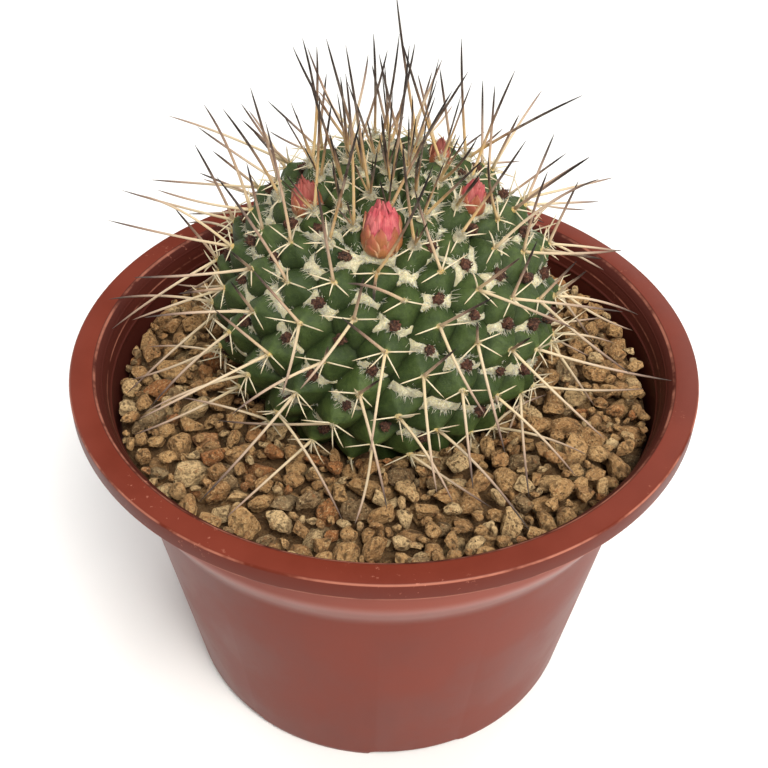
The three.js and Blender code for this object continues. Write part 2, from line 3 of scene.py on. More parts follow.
import bmesh
import bpy
import numpy as np
from mathutils import Matrix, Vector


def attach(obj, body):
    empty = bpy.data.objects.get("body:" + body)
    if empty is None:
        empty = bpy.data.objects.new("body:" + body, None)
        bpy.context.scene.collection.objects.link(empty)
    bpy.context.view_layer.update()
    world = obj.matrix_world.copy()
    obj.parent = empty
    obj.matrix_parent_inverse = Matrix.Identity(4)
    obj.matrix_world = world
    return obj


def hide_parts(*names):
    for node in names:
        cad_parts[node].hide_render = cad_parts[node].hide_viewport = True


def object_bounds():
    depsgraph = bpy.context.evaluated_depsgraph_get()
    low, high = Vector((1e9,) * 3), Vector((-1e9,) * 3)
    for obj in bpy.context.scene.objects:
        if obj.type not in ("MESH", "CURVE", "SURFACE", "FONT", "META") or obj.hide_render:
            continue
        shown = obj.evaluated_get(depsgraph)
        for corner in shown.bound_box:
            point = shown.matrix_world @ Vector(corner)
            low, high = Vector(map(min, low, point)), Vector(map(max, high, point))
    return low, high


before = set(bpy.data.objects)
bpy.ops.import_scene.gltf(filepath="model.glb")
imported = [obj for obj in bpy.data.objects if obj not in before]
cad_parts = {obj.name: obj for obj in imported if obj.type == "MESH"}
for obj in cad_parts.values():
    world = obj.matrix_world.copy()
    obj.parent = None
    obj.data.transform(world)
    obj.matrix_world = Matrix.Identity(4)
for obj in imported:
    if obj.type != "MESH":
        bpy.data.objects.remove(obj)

cadLow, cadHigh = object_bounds()
mm = 0.001
print("frame loaded")


# Small tools: lengths in millimetres until a mesh is made

word = 0xffffffff  # keeps whole numbers to 32 bits


def seededRandom(seed):  # a small generator that keeps its own state
    state = seed & word

    def draw():
        nonlocal state
        state = (state + 0x6d2b79f5) & word
        t = state
        t = ((t ^ (t >> 15)) * (t | 1)) & word
        t ^= (t + ((t ^ (t >> 7)) * (t | 61) & word)) & word
        return ((t ^ (t >> 14)) & word) / (word + 1)

    return draw


def latticeNoise(cell, seed):  # a hashed value from 0 to 1 for every cell
    n = cell[..., 0] * 374761393 + cell[..., 1] * 668265263 + cell[..., 2] * 1440662683 + seed * 974634777
    n = n & word
    n = ((n ^ (n >> 13)) * 1274126177) & word
    return ((n ^ (n >> 16)) & 0xffff) / 0xffff


def softNoise(points, size, seed=0):  # -1 to 1, blobs about as wide as size
    p = np.asarray(points, float) / size
    cell = np.floor(p).astype(np.int64)
    f = p - cell
    f = f * f * (3 - 2 * f)
    total = 0
    for corner in range(8):
        step = np.array([corner & 1, corner >> 1 & 1, corner >> 2 & 1])
        share = np.prod(np.where(step == 1, f, 1 - f), axis=-1)
        total = total + share * latticeNoise(cell + step, seed)
    return 2 * total - 1


def shaken(points, reach, size, seed):  # noise in all three directions, to move points by
    return reach * np.stack([softNoise(points, size, seed + k) for k in range(3)], -1)


def unit(v):
    v = np.asarray(v, float)
    return v / np.maximum(1e-12, np.linalg.norm(v, axis=-1, keepdims=True))


def evenAngles(count):
    return np.arange(count) * 2 * math.pi / count


def ringsAcross(ahead, notAlong, sides):  # rings of radius 1 square to every direction
    across = unit(np.cross(ahead, notAlong))
    lift = np.cross(ahead, across)
    angle = evenAngles(sides)[:, None]
    return across[:, None] * np.cos(angle) + lift[:, None] * np.sin(angle)


def facing(right, up, back, place):  # a world matrix from three directions and a place
    turn = np.eye(4)
    turn[:3] = np.stack([right, up, back, place], 1)
    return Matrix(turn.tolist())


def newObject(name, data):
    made = bpy.data.objects.new(name, data)
    bpy.context.scene.collection.objects.link(made)
    return made


class Heap:  # gathers many small closed shapes, to make one mesh of them
    def __init__(self):
        self.points, self.faces, self.masks, self.count = [], [], {}, 0

    def add(self, points, faces, **masks):
        points = np.asarray(points, float).reshape(-1, 3)
        self.points.append(points)
        self.faces.append(np.asarray(faces, int).reshape(-1, 3) + self.count)
        for name, value in masks.items():
            self.masks.setdefault(name, []).append(np.broadcast_to(value, len(points)).astype(float))
        self.count += len(points)
        return self


faceCounts = []


def makePiece(name, heap, material, stoodFor=None, smooth=True):
    points = np.concatenate(heap.points) * mm
    faces = np.concatenate(heap.faces)
    mesh = bpy.data.meshes.new(name)
    mesh.vertices.add(len(points))
    mesh.vertices.foreach_set("co", points.ravel())
    mesh.loops.add(faces.size)
    mesh.loops.foreach_set("vertex_index", faces.ravel().astype(np.int32))
    mesh.polygons.add(len(faces))
    mesh.polygons.foreach_set("loop_start", np.arange(0, faces.size, 3, dtype=np.int32))
    mesh.polygons.foreach_set("use_smooth", np.full(len(faces), smooth))
    mesh.update(calc_edges=True)
    for maskName, values in heap.masks.items():
        layer = mesh.attributes.new(maskName, "FLOAT", "POINT")
        layer.data.foreach_set("value", np.concatenate(values).astype(np.float32))
    mesh.materials.append(material)
    piece = newObject(name, mesh)
    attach(piece, "root")
    if stoodFor:
        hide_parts(stoodFor)
    faceCounts.append(len(faces))
    print(f"{name}: {len(faces)} triangles")
    return piece


def turned(profile, segments):  # a closed turned shape: the profile starts and ends on the axis
    profile, ring = np.asarray(profile, float), evenAngles(segments)
    radius, height = profile[1:-1, 0, None], profile[1:-1, 1, None]
    points = np.stack(np.broadcast_arrays(radius * np.cos(ring), radius * np.sin(ring), height), -1)
    points = np.vstack([points.reshape(-1, 3), [0, 0, profile[0, 1]], [0, 0, profile[-1, 1]]])
    return points, ringFaces(len(radius), segments)


def ringFaces(rings, sides):  # anticlockwise rings from low to high, then the low and the high end point
    k = np.arange(sides)
    nextK = (k + 1) % sides
    low = rings * sides
    faces = [np.stack([np.full(sides, low), nextK, k], 1)]
    for ring in range(rings - 1):
        a, b = ring * sides + k, ring * sides + nextK
        c, d = a + sides, b + sides
        faces += [np.stack([a, b, d], 1), np.stack([a, d, c], 1)]
    top = low - sides
    faces.append(np.stack([top + k, top + nextK, np.full(sides, low + 1)], 1))
    return np.concatenate(faces)


def rounded(corners, steps=4):  # [radius, height, fillet] corners to a smooth profile
    corners = np.asarray(corners, float)
    out = [corners[0, :2]]
    for before, here, after in zip(corners[:-2], corners[1:-1], corners[2:]):
        p = here[:2]
        toBefore, toAfter = before[:2] - p, after[:2] - p
        reach = min(here[2], 0.45 * np.linalg.norm(toBefore), 0.45 * np.linalg.norm(toAfter))
        start, end = p + unit(toBefore) * reach, p + unit(toAfter) * reach
        for t in np.linspace(0, 1, steps):
            out.append((1 - t) ** 2 * start + 2 * t * (1 - t) * p + t * t * end)
    out.append(corners[-1, :2])
    return np.array(out)


def stepped(outline, length):  # an outline divided into steps of about this length
    out = []
    for (r0, z0), (r1, z1) in zip(outline, outline[1:]):
        steps = max(1, int(math.hypot(r1 - r0, z1 - z0) / length))
        out += [(r0 + (r1 - r0) * k / steps, z0 + (z1 - z0) * k / steps) for k in range(steps)]
    return out + [outline[-1]]


# Shader tools

class Shader:  # a node tree with short calls, a new material's unless one is given
    def __init__(self, name, tree=None):
        if tree is None:
            self.material = bpy.data.materials.new(name)
            self.material.use_nodes = True
            tree = self.material.node_tree
            self.surface = tree.nodes["Principled BSDF"]
        self.tree = tree

    def feed(self, inputs, values):  # sockets, colours or numbers, by name or in the inputs' order
        for key, value in (values if isinstance(values, dict) else dict(enumerate(values))).items():
            socket = inputs[key]
            if isinstance(value, bpy.types.NodeSocket):
                self.tree.links.new(value, socket)
            elif isinstance(value, tuple) and len(value) < len(socket.default_value):
                socket.default_value = (*value, 1)
            else:
                socket.default_value = value

    def node(self, kind, values=(), **settings):
        made = self.tree.nodes.new(kind)
        for key, value in settings.items():
            setattr(made, key, value)
        self.feed(made.inputs, values)
        return made.outputs

    def mask(self, name):
        return self.node("ShaderNodeAttribute", attribute_name=name)["Fac"]

    def place(self):
        return self.node("ShaderNodeTexCoord")["Object"]

    def noise(self, vector, scale, detail=3, rough=0.5, distortion=0):
        values = {"Vector": vector, "Scale": scale, "Detail": detail, "Roughness": rough, "Distortion": distortion}
        return self.node("ShaderNodeTexNoise", values)["Fac"]

    def cells(self, vector, scale):
        return self.node("ShaderNodeTexVoronoi", {"Vector": vector, "Scale": scale})["Distance"]

    def vector(self, kind, a, b=(0, 0, 0)):
        return self.node("ShaderNodeVectorMath", (a, b), operation=kind)

    def math(self, kind, a, b=0.0, c=0.0, clamp=False):
        return self.node("ShaderNodeMath", (a, b, c), operation=kind, use_clamp=clamp)[0]

    def plus(self, a, b, clamp=False):
        return self.math("ADD", a, b, clamp=clamp)

    def minus(self, a, b):
        return self.math("SUBTRACT", a, b)

    def times(self, a, b):
        return self.math("MULTIPLY", a, b)

    def window(self, value, low, high, top=1.0, bottom=0.0):  # a smooth step, bottom at low and top at high
        values = (value, low, high, bottom, top)
        return self.node("ShaderNodeMapRange", values, interpolation_type="SMOOTHSTEP")[0]

    def band(self, value, riseFrom, riseTo, fallFrom, fallTo):  # 1 between two smooth steps
        return self.times(self.window(value, riseFrom, riseTo), self.window(value, fallTo, fallFrom))

    def blend(self, share, a, b):
        return self.node("ShaderNodeMix", {0: share, 6: a, 7: b}, data_type="RGBA")[2]

    def layered(self, palette, first, layers):  # colours laid over the first one, each with its share
        colour = palette[first]
        for share, name in layers:
            colour = self.blend(share, colour, palette[name])
        return colour

    def ramp(self, value, stops):
        made = self.tree.nodes.new("ShaderNodeValToRGB")
        self.feed(made.inputs, [value])
        marks = made.color_ramp.elements
        while len(marks) < len(stops):
            marks.new(0.5)
        for mark, (at, colour) in zip(marks, stops):
            mark.position, mark.color = at, (*colour, 1)
        return made.outputs[0]

    def mottled(self, cloud, grain, pit, offset):
        values = {"Cloud scale": cloud, "Grain scale": grain, "Pit scale": pit, "Offset": offset}
        return self.node("ShaderNodeGroup", values, node_tree=mottle)

    def put(self, values):  # on the surface's own sockets
        self.feed(self.surface.inputs, values)

    def bump(self, height, distance, strength=1.0):  # distance in millimetres
        values = {"Height": height, "Distance": distance * mm, "Strength": strength}
        self.put({"Normal": self.node("ShaderNodeBump", values)["Normal"]})


def newGroup(name, inputs, outputs):
    tree = bpy.data.node_groups.new(name, "ShaderNodeTree")
    kind = "NodeSocketFloat"
    for label, value in inputs.items():
        tree.interface.new_socket(label, in_out="INPUT", socket_type=kind).default_value = value
    for label in outputs:
        tree.interface.new_socket(label, in_out="OUTPUT", socket_type=kind)
    given, out = tree.nodes.new("NodeGroupInput").outputs, tree.nodes.new("NodeGroupOutput").inputs
    return Shader(name, tree), given, out


def makeMottle():  # cloudy shade, fine grain and dark pits, all in object space
    scales = {"Cloud scale": 100.0, "Grain scale": 900.0, "Pit scale": 700.0, "Offset": 0.0}
    s, given, out = newGroup("mottle", scales, ["Cloud", "Grain", "Pits"])
    here = s.vector("ADD", s.place(), given["Offset"])[0]
    pits = s.plus(s.cells(here, given["Pit scale"]), s.noise(here, given["Pit scale"], 2))
    s.feed(out, {"Cloud": s.window(s.noise(here, given["Cloud scale"], 4, 0.55), 0.3, 0.7),
                 "Grain": s.noise(here, given["Grain scale"], 5, 0.7), "Pits": s.window(pits, 0.82, 0.6)})
    return s.tree


def makeFelt():  # short crossing threads
    s, given, out = newGroup("felt", {"Scale": 1500.0}, ["Threads", "Clump"])
    here = s.place()
    threads = s.noise(here, given["Scale"], 4, 0.75, 2.5)
    clump = s.noise(here, s.math("DIVIDE", given["Scale"], 6.0))
    s.feed(out, {"Threads": s.window(threads, 0.35, 0.65), "Clump": clump})
    return s.tree


mottle = makeMottle()
felt = makeFelt()


# Camera, floor and light

cameraSet = {"tiltDown": 40.45, "roll": 0.96, "lens": 56.25, "sensor": 36, "clip": (0.01, 50),
             "place": (0, -272.86, 331.81)}


def makeCamera():
    data = bpy.data.cameras.new("camera")
    data.lens, data.sensor_width = cameraSet["lens"], cameraSet["sensor"]
    data.clip_start, data.clip_end = cameraSet["clip"]
    tilt, roll = math.radians(cameraSet["tiltDown"]), math.radians(cameraSet["roll"])
    ahead = np.array([0, math.cos(tilt), -math.sin(tilt)])
    level, above = np.array([1.0, 0, 0]), np.array([0, math.sin(tilt), math.cos(tilt)])
    right = math.cos(roll) * level + math.sin(roll) * above
    up = math.cos(roll) * above - math.sin(roll) * level
    camera = newObject("camera", data)
    camera.matrix_world = facing(right, up, -ahead, np.array(cameraSet["place"]) * mm)
    bpy.context.scene.camera = camera


lightSet = {
    "world": ((1.0, 0.99, 0.96), 0.31),
    "lamps": [  # name, place in metres, size, watts, colour
        ("key", (0.25, -0.62, 0.95), 0.45, 13.2, (1.0, 0.97, 0.91)),
        ("top", (0.1, 0.1, 1.1), 0.9, 3.8, (0.98, 0.99, 1.0)),
        ("back", (0.55, 0.85, 0.6), 0.7, 3.6, (1.0, 0.98, 0.95)),
        ("backLeft", (-0.75, 0.55, 0.55), 0.7, 3.2, (1.0, 0.98, 0.95)),
        ("right", (0.95, -0.5, 0.2), 0.6, 3.6, (1.0, 0.98, 0.95)),
        ("front", (-0.25, -1.1, 0.14), 0.8, 2.2, (1.0, 0.99, 0.97)),
    ],
    "aim": (0, 0, 0.1),
    "distance": 0.97,  # how bright the empty studio looks behind the floor's edge
    "floor": (0.93, 0.93, 0.93), "floorDark": (0.9021, 0.9021, 0.9021),
    "floorRadius": 1.05, "floorHeight": -0.0002, "floorSides": 96,
}


def makeStage():
    scene = bpy.context.scene
    scene.view_settings.view_transform, scene.view_settings.look = "Standard", "None"
    world = bpy.data.worlds.new("studio")
    scene.world = world
    world.use_nodes = True
    sky = Shader("studio", world.node_tree)
    colour, strength = lightSet["world"]
    seen = sky.node("ShaderNodeLightPath")["Is Camera Ray"]
    bright = sky.math("MULTIPLY_ADD", seen, lightSet["distance"] - strength, strength)
    sky.feed(world.node_tree.nodes["Background"].inputs, {"Color": colour, "Strength": bright})
    for name, at, size, power, tint in lightSet["lamps"]:
        lamp = bpy.data.lights.new(name, "AREA")
        lamp.shape, lamp.size, lamp.energy, lamp.color = "DISK", size, power, tint
        back = unit(np.array(at) - lightSet["aim"])
        right = unit(np.cross([0, 0, 1], back))
        holder = newObject(name, lamp)
        holder.matrix_world = facing(right, np.cross(back, right), back, at)
        holder.visible_camera = False
    s = Shader("floorPaper")
    grain = s.noise(s.place(), 40, 3)
    s.put({"Base Color": s.blend(grain, lightSet["floor"], lightSet["floorDark"]), "Roughness": 0.8})
    mesh = bpy.data.meshes.new("floor")
    radius, sides = lightSet["floorRadius"], lightSet["floorSides"]
    edge = [(radius * math.cos(a), radius * math.sin(a), lightSet["floorHeight"]) for a in evenAngles(sides)]
    mesh.from_pydata(edge, [], [list(range(sides))])
    mesh.materials.append(s.material)
    floor = newObject("floor", mesh)


makeCamera()
makeStage()
print("camera, floor and light placed")


# Pot

potSet = {
    "segments": 256,
    "outside": [  # radius, height, fillet
        (0, 2.6, 0), (57.5, 2.6, 0.5), (58.3, 0, 0.3), (62.2, 0, 0.5), (63, 2, 0.9), (75.3, 81, 1.2),
        (76.5, 84, 1.2), (79.3, 89.5, 2), (80.3, 92.5, 1.6), (81, 111.8, 0.6), (87.4, 111.8, 0.6),
        (88.1, 108.5, 0.4), (90, 108.5, 0.4), (90, 113.5, 0.3), (89.6, 114, 0.3)],
    "inside": [
        (83.3, 114, 0.5), (81.6, 112.4, 0.8), (80.2, 109.5, 1), (79.5, 106.2, 0.3), (79.1, 105.9, 0.2),
        (79.1, 105.2, 0.2), (79.25, 104.9, 0.2), (78.5, 92.5, 1.5), (77.6, 89.5, 1.5), (73.5, 81, 1.2),
        (62, 7.6, 1), (58.6, 4.6, 1), (0, 4.6, 0)],
    "footHeight": 2.3, "footTop": 2.5, "footInside": 57,
    "archDegrees": 26, "archEase": 1.8, "firstArch": -79, "archCount": 6,
    "drainCount": 6, "drainRadius": 4.5, "drainRing": 38, "middleRadius": 6, "cutMiddle": 3.6, "cutDepth": 8,
    "sharpAbove": 38,  # degrees between two faces
    "deep": (0.122, 0.019, 0.009), "main": (0.158, 0.027, 0.014), "pale": (0.40, 0.15, 0.10),
    # inner: painted shade, the inside wall coloured dark as if in shadow
    # paintedNeckLight: painted light, a lighter red on the neck that the collar shades
    # paintedShoulderSheen: a painted reflection, a pale band on the shoulder
    "inner": (0.045, 0.008, 0.005), "paintedShoulderSheen": (0.34, 0.20, 0.18), "paintedNeckLight": (0.30, 0.085, 0.06),
    "collar": (0.085, 0.012, 0.005),
    # the middle of the wall as slope and start, up to the shoulder and above it, in metres like all below
    "lowerWall": (0.424, 0.0402), "upperWall": (0.068, 0.0731), "rimStep": 0.0027,
    # heights where a zone begins, is full, is full last and has ended
    "lip": (0.1084, 0.1086, 0.1087, 0.1092), "rim": (0.1133, 0.1136, 0.1138, 0.11399),
    "shoulder": (0.081, 0.0865, 0.0895, 0.094),
}


def potMaterial():
    s = Shader("potPlastic")
    here = s.place()
    spots = s.mottled(28.0, 1400.0, 350.0, 3.1)
    streaks = s.noise(s.vector("MULTIPLY", here, (1, 1, 0.12))[0], 110, 3, 0.6)
    height = s.node("ShaderNodeSeparateXYZ", [here])["Z"]
    reach = s.vector("LENGTH", s.vector("MULTIPLY", here, (1, 1, 0))[0])["Value"]
    # How far a place lies outside the middle of the wall
    walls = (s.math("MULTIPLY_ADD", height, *potSet[part]) for part in ("lowerWall", "upperWall"))
    middle = s.plus(s.math("MINIMUM", *walls), s.window(height, 0.1092, 0.1098, potSet["rimStep"]))
    away = s.minus(reach, middle)
    # inside: where the inner wall gets the painted shade
    inside = s.times(s.window(away, 0.0002, -0.0002), s.window(height, 0.086, 0.088))
    outside = s.times(s.window(away, -0.0002, 0.0002), s.window(height, 0.1092, 0.1086))
    # neck: the band under the collar that gets the painted light
    neck = s.times(s.window(height, 0.088, 0.092), s.window(reach, 0.083, 0.0815))
    # painted reflection: a pale band where the shoulder would catch the bright floor
    shoulderSheen = s.times(s.band(height, *potSet["shoulder"]), s.window(reach, 0.0738, 0.0742))
    base = s.layered(potSet, "deep", [
        (spots["Cloud"], "main"),
        (s.window(streaks, 0.35, 0.75, 0.35), "main"),
        # painted shade on the inner wall
        (s.times(inside, 0.85), "inner"),
        # painted light on the neck, lifting the collar's shadow
        (s.times(s.times(neck, outside), 0.6), "paintedNeckLight"),
        (s.window(reach, 0.0892, 0.0898, 0.6), "collar"),
        # painted reflection on the shoulder
        (s.times(shoulderSheen, 0.42), "paintedShoulderSheen"),
    ])
    # Rubbed pale edges on the collar's lip and the rim, and nicks on the collar
    edges = s.plus(s.band(height, *potSet["lip"]), s.band(height, *potSet["rim"]))
    rubbed = s.times(edges, s.window(s.noise(here, 60, 4, 0.7), 0.36, 0.58))
    nicks = s.times(s.window(s.noise(here, 420, 3, 0.8), 0.63, 0.68), s.window(s.noise(here, 30, 2), 0.5, 0.62))
    nicks = s.times(nicks, s.window(height, 0.104, 0.109))
    wear = s.plus(s.times(rubbed, 0.75), s.times(nicks, 0.55), clamp=True)
    rough = s.window(spots["Cloud"], 0, 1, 0.46, 0.36)
    s.put({"Base Color": s.blend(wear, base, potSet["pale"]), "Specular IOR Level": 0.12,
           "Roughness": s.plus(rough, s.times(s.plus(wear, inside), 0.22), clamp=True)})
    s.bump(s.plus(s.times(spots["Grain"], 0.5), s.times(streaks, 0.8)), 0.05, 0.5)
    return s.material


def makePot():
    points, faces = turned(rounded(potSet["outside"] + potSet["inside"]), potSet["segments"])
    # The low ring under the pot is cut into feet by shallow arches
    angle = np.degrees(np.arctan2(points[:, 1], points[:, 0]))
    every, ease = 360 / potSet["archCount"], potSet["archEase"]
    away = np.abs((angle - potSet["firstArch"] + every / 2) % every - every / 2)
    edge = np.clip((potSet["archDegrees"] / 2 + ease / 2 - away) / ease, 0, 1)
    lift = potSet["footHeight"] * edge * edge * (3 - 2 * edge)
    ring = (points[:, 2] < potSet["footTop"]) & (np.hypot(points[:, 0], points[:, 1]) > potSet["footInside"])
    points[ring, 2] = np.maximum(points[ring, 2], lift[ring] + 0.1 * points[ring, 2])
    pot = makePiece("pot_shell", Heap().add(points, faces), potMaterial(), "pot")

    # Drain holes, a ring of them and one in the middle
    cutters = bmesh.new()
    count = potSet["drainCount"]
    holes = [(potSet["drainRing"], potSet["drainRadius"])] * count + [(0, potSet["middleRadius"])]
    for k, (far, radius) in enumerate(holes):
        turn = Matrix.Rotation(k * 2 * math.pi / count, 4, "Z")
        offset = Matrix.Translation((far * mm, 0, potSet["cutMiddle"] * mm))
        bmesh.ops.create_cone(cutters, cap_ends=True, segments=40, radius1=radius * mm, radius2=radius * mm,
                              depth=potSet["cutDepth"] * mm, matrix=turn @ offset)
    cutterMesh = bpy.data.meshes.new("drainCutters")
    cutters.to_mesh(cutterMesh)
    cutters.free()
    cutter = newObject("drainCutters", cutterMesh)
    cut = pot.modifiers.new("drains", "BOOLEAN")
    cut.operation, cut.solver, cut.object = "DIFFERENCE", "EXACT", cutter
    bpy.context.view_layer.update()
    shaped = bpy.data.meshes.new_from_object(pot.evaluated_get(bpy.context.evaluated_depsgraph_get()))
    pot.modifiers.clear()
    pot.data = shaped
    bpy.data.objects.remove(cutter)
    sharpen(shaped, potSet["sharpAbove"])


def sharpen(mesh, degrees):  # keeps the shading crisp where two faces meet at a steep angle
    bm = bmesh.new()
    bm.from_mesh(mesh)
    for edge in bm.edges:
        edge.smooth = edge.calc_face_angle(0) < math.radians(degrees)
    for face in bm.faces:
        face.smooth = True
    bm.to_mesh(mesh)
    bm.free()


makePot()
print("pot turned and drained")


# Soil, seen through the drain holes

soilSet = {
    "outline": [(0, 4.95), (58, 4.95), (61.4, 8), (72.9, 81), (76.6, 88), (0, 88)], "step": 3.2, "segments": 90,
    "crumb": 0.9, "crumbSize": 2.2, "bottomTo": 5, "topFrom": 87.9,
    "mould": (0.03, 0.018, 0.01), "fibre": (0.085, 0.052, 0.03), "hollow": (0.012, 0.008, 0.005),
}


def makeSoil():
    s = Shader("pottingMix")
    spots = s.mottled(160.0, 1200.0, 500.0, 1.0)
    colour = s.layered(soilSet, "mould", [(spots["Cloud"], "fibre"), (spots["Pits"], "hollow")])
    s.put({"Base Color": colour, "Roughness": 0.95})
    s.bump(s.minus(spots["Grain"], spots["Pits"]), 0.8)
    points, faces = turned(stepped(soilSet["outline"], soilSet["step"]), soilSet["segments"])
    radial = unit(points * [1, 1, 0])
    crumb = soilSet["crumb"] * (0.5 + 0.5 * softNoise(points, soilSet["crumbSize"], 4))
    low, high = points[:, 2] < soilSet["bottomTo"], points[:, 2] > soilSet["topFrom"]
    points[low, 2] += crumb[low]
    points[high, 2] -= crumb[high]
    side = ~low & ~high
    points[side] -= radial[side] * crumb[side, None]
    makePiece("soil_fill", Heap().add(points, faces), s.material, "soil")


makeSoil()


# The plant's layout: a leaning globe of spiralled tubercles, laid out like the solid's

plantSet = {
    "centre": np.array([0, 7.9, 125.2]), "radius": 50.1, "halfHeight": 44.7, "leanForward": 8.2, "leanSide": -1.1,
    "count": 174, "turn": -137.533, "firstAzimuth": 72.8, "fullArea": 182.5, "crownShare": 0.194,
    "growSteps": 36.7, "heightPerSpacing": 0.6, "budSeatDepth": 6.6, "budRoom": 3.2,
}
budSet = [
    {"name": "front", "polar": 24.8, "azimuth": -91.6, "radius": 5.4, "length": 18, "petals": 7, "ripe": 1.0},
    {"name": "left", "polar": 27.5, "azimuth": -171, "radius": 4.2, "length": 13, "petals": 6, "ripe": 0.3},
    {"name": "right", "polar": 31, "azimuth": -4, "radius": 3.8, "length": 13, "petals": 6, "ripe": 0.55},
    {"name": "back", "polar": 30, "azimuth": 48, "radius": 3.3, "length": 11, "petals": 5, "ripe": 0.0},
]

leanX, leanY = math.radians(plantSet["leanForward"]), math.radians(plantSet["leanSide"])
tiltX = np.array([[1, 0, 0], [0, math.cos(leanX), -math.sin(leanX)], [0, math.sin(leanX), math.cos(leanX)]])
tiltY = np.array([[math.cos(leanY), 0, math.sin(leanY)], [0, 1, 0], [-math.sin(leanY), 0, math.cos(leanY)]])
lean = tiltY @ tiltX
plantAxis = lean @ np.array([0, 0, 1.0])
globeSize = np.array([plantSet["radius"], plantSet["radius"], plantSet["halfHeight"]])


def onGlobe(direction, depth=0.0):
    depth = np.asarray(depth, float)[..., None] if np.ndim(depth) else depth
    return (direction * (globeSize - depth)) @ lean.T + plantSet["centre"]


def outwardAt(direction):
    return unit((direction / globeSize) @ lean.T)


def ballPoint(polar, azimuth):  # on the unit ball, angles in radians
    return np.stack([np.sin(polar) * np.cos(azimuth), np.sin(polar) * np.sin(azimuth), np.cos(polar)], -1)


for bud in budSet:
    way = ballPoint(math.radians(bud["polar"]), math.radians(bud["azimuth"]))
    bud["way"], bud["seat"] = way, onGlobe(way, plantSet["budSeatDepth"])
    bud["axis"] = unit(0.5 * outwardAt(way) + [0, 0, 1])


def nearBud(point, room, above=math.inf):  # inside a column round a bud, up to this far above its tip
    gaps = [(point - bud["seat"], bud) for bud in budSet]
    return any(np.linalg.norm(np.cross(gap, bud["axis"])) < bud["radius"] + room
               and gap @ bud["axis"] < bud["length"] + above for gap, bud in gaps)


def growingPoints():
    n = np.arange(plantSet["count"]) + 0.5
    lack, grow = 1 - plantSet["crownShare"], plantSet["growSteps"]
    areas = plantSet["fullArea"] * (n - lack * grow * (1 - np.exp(-n / grow)))
    slices = 4000
    t = (np.arange(slices) + 0.5) * math.pi / slices
    slope = np.hypot(plantSet["radius"] * np.cos(t), plantSet["halfHeight"] * np.sin(t))
    covered = np.cumsum(2 * math.pi * plantSet["radius"] * np.sin(t) * slope * math.pi / slices)
    polar = t[np.searchsorted(covered, areas)]
    azimuth = np.radians(plantSet["firstAzimuth"] + plantSet["turn"] * np.arange(plantSet["count"]))
    points = ballPoint(polar, azimuth)
    for bud in budSet:  # the buds push the tubercles aside
        seat = bud["way"]
        room = (bud["radius"] + plantSet["budRoom"]) / plantSet["radius"]
        for i in np.nonzero(points @ seat > math.cos(room))[0]:
            away = unit(points[i] - seat * (points[i] @ seat))
            points[i] = seat * math.cos(room) + away * math.sin(room)
    spacing = np.sqrt(plantSet["fullArea"] * (1 - lack * np.exp(-np.arange(plantSet["count"]) / grow)))
    return points, spacing, polar


tipWay, spacing, tipPolar = growingPoints()
tips = onGlobe(tipWay)
outward = outwardAt(tipWay)
upward = unit(plantAxis - outward * (outward @ plantAxis)[:, None])
sideward = np.cross(outward, upward)

lobeSet = {"angles": 72, "corners": 10, "reach": 1.05, "plump": 1.85, "steep": 0.78, "rings": 11, "spokes": 32,
           "droop": 0.12, "nub": 0.085, "nubWidth": 0.17, "neighbours": 2.3, "budPress": 0.72, "sink": 2.5,
           "wobble": [(0.42, 4.6, 1), (0.09, 1.5, 4)]}  # reach, size, seed


def lobeReaches():  # how far each tubercle's base reaches in every direction, up to its neighbours
    angles = evenAngles(lobeSet["angles"])
    reaches = np.empty((len(tips), len(angles)))
    for i in range(len(tips)):
        gaps = tips - tips[i]
        far, limit = np.linalg.norm(gaps, axis=1), lobeSet["neighbours"] * spacing[i]
        near = np.nonzero((far > 0) & (far < limit))[0]
        x, y, half = gaps[near] @ sideward[i], gaps[near] @ upward[i], far[near] / 2
        for bud in budSet:
            seatGap = onGlobe(bud["way"]) - tips[i]
            farBud = np.linalg.norm(seatGap)
            if farBud < limit:
                x = np.append(x, seatGap @ sideward[i])
                y = np.append(y, seatGap @ upward[i])
                half = np.append(half, farBud - lobeSet["budPress"] * bud["radius"])
        toward = np.arctan2(y, x)
        press = np.maximum(0, np.cos(angles[:, None] - toward[None])) / half[None]
        reaches[i] = (press ** lobeSet["corners"]).sum(1) ** (-1 / lobeSet["corners"])
    return reaches * lobeSet["reach"]


lobeReach = lobeReaches()
lobeHeight = plantSet["heightPerSpacing"] * spacing


def reachAt(i, angle):
    n = lobeSet["angles"]
    at = (np.asarray(angle) / (2 * math.pi) * n) % n
    low = np.floor(at).astype(int)
    share = at - low
    return lobeReach[i, low % n] * (1 - share) + lobeReach[i, (low + 1) % n] * share


def lobeDrop(t):  # 0 at the tip to 1 in the groove, with a small nub under the areole
    t = np.clip(t, 0, 1)
    nub = lobeSet["nub"] * (1 - np.exp(-(t / lobeSet["nubWidth"]) ** 2))
    return nub + (1 - lobeSet["nub"]) * (1 - (1 - t ** lobeSet["plump"]) ** lobeSet["steep"])


def skinDepth(ways):  # depth of the tubercled skin under the globe that touches the tips
    ways = np.asarray(ways, float)
    i = np.argmax(ways @ tipWay.T, axis=1)
    gap = onGlobe(ways) - tips[i]
    x, y = np.einsum("ij,ij->i", gap, sideward[i]), np.einsum("ij,ij->i", gap, upward[i])
    t = np.hypot(x, y) / reachAt(i, np.arctan2(y, x))
    return lobeHeight[i] * lobeDrop(t)


print("plant laid out:", len(tips), "tubercles")


# Plant body

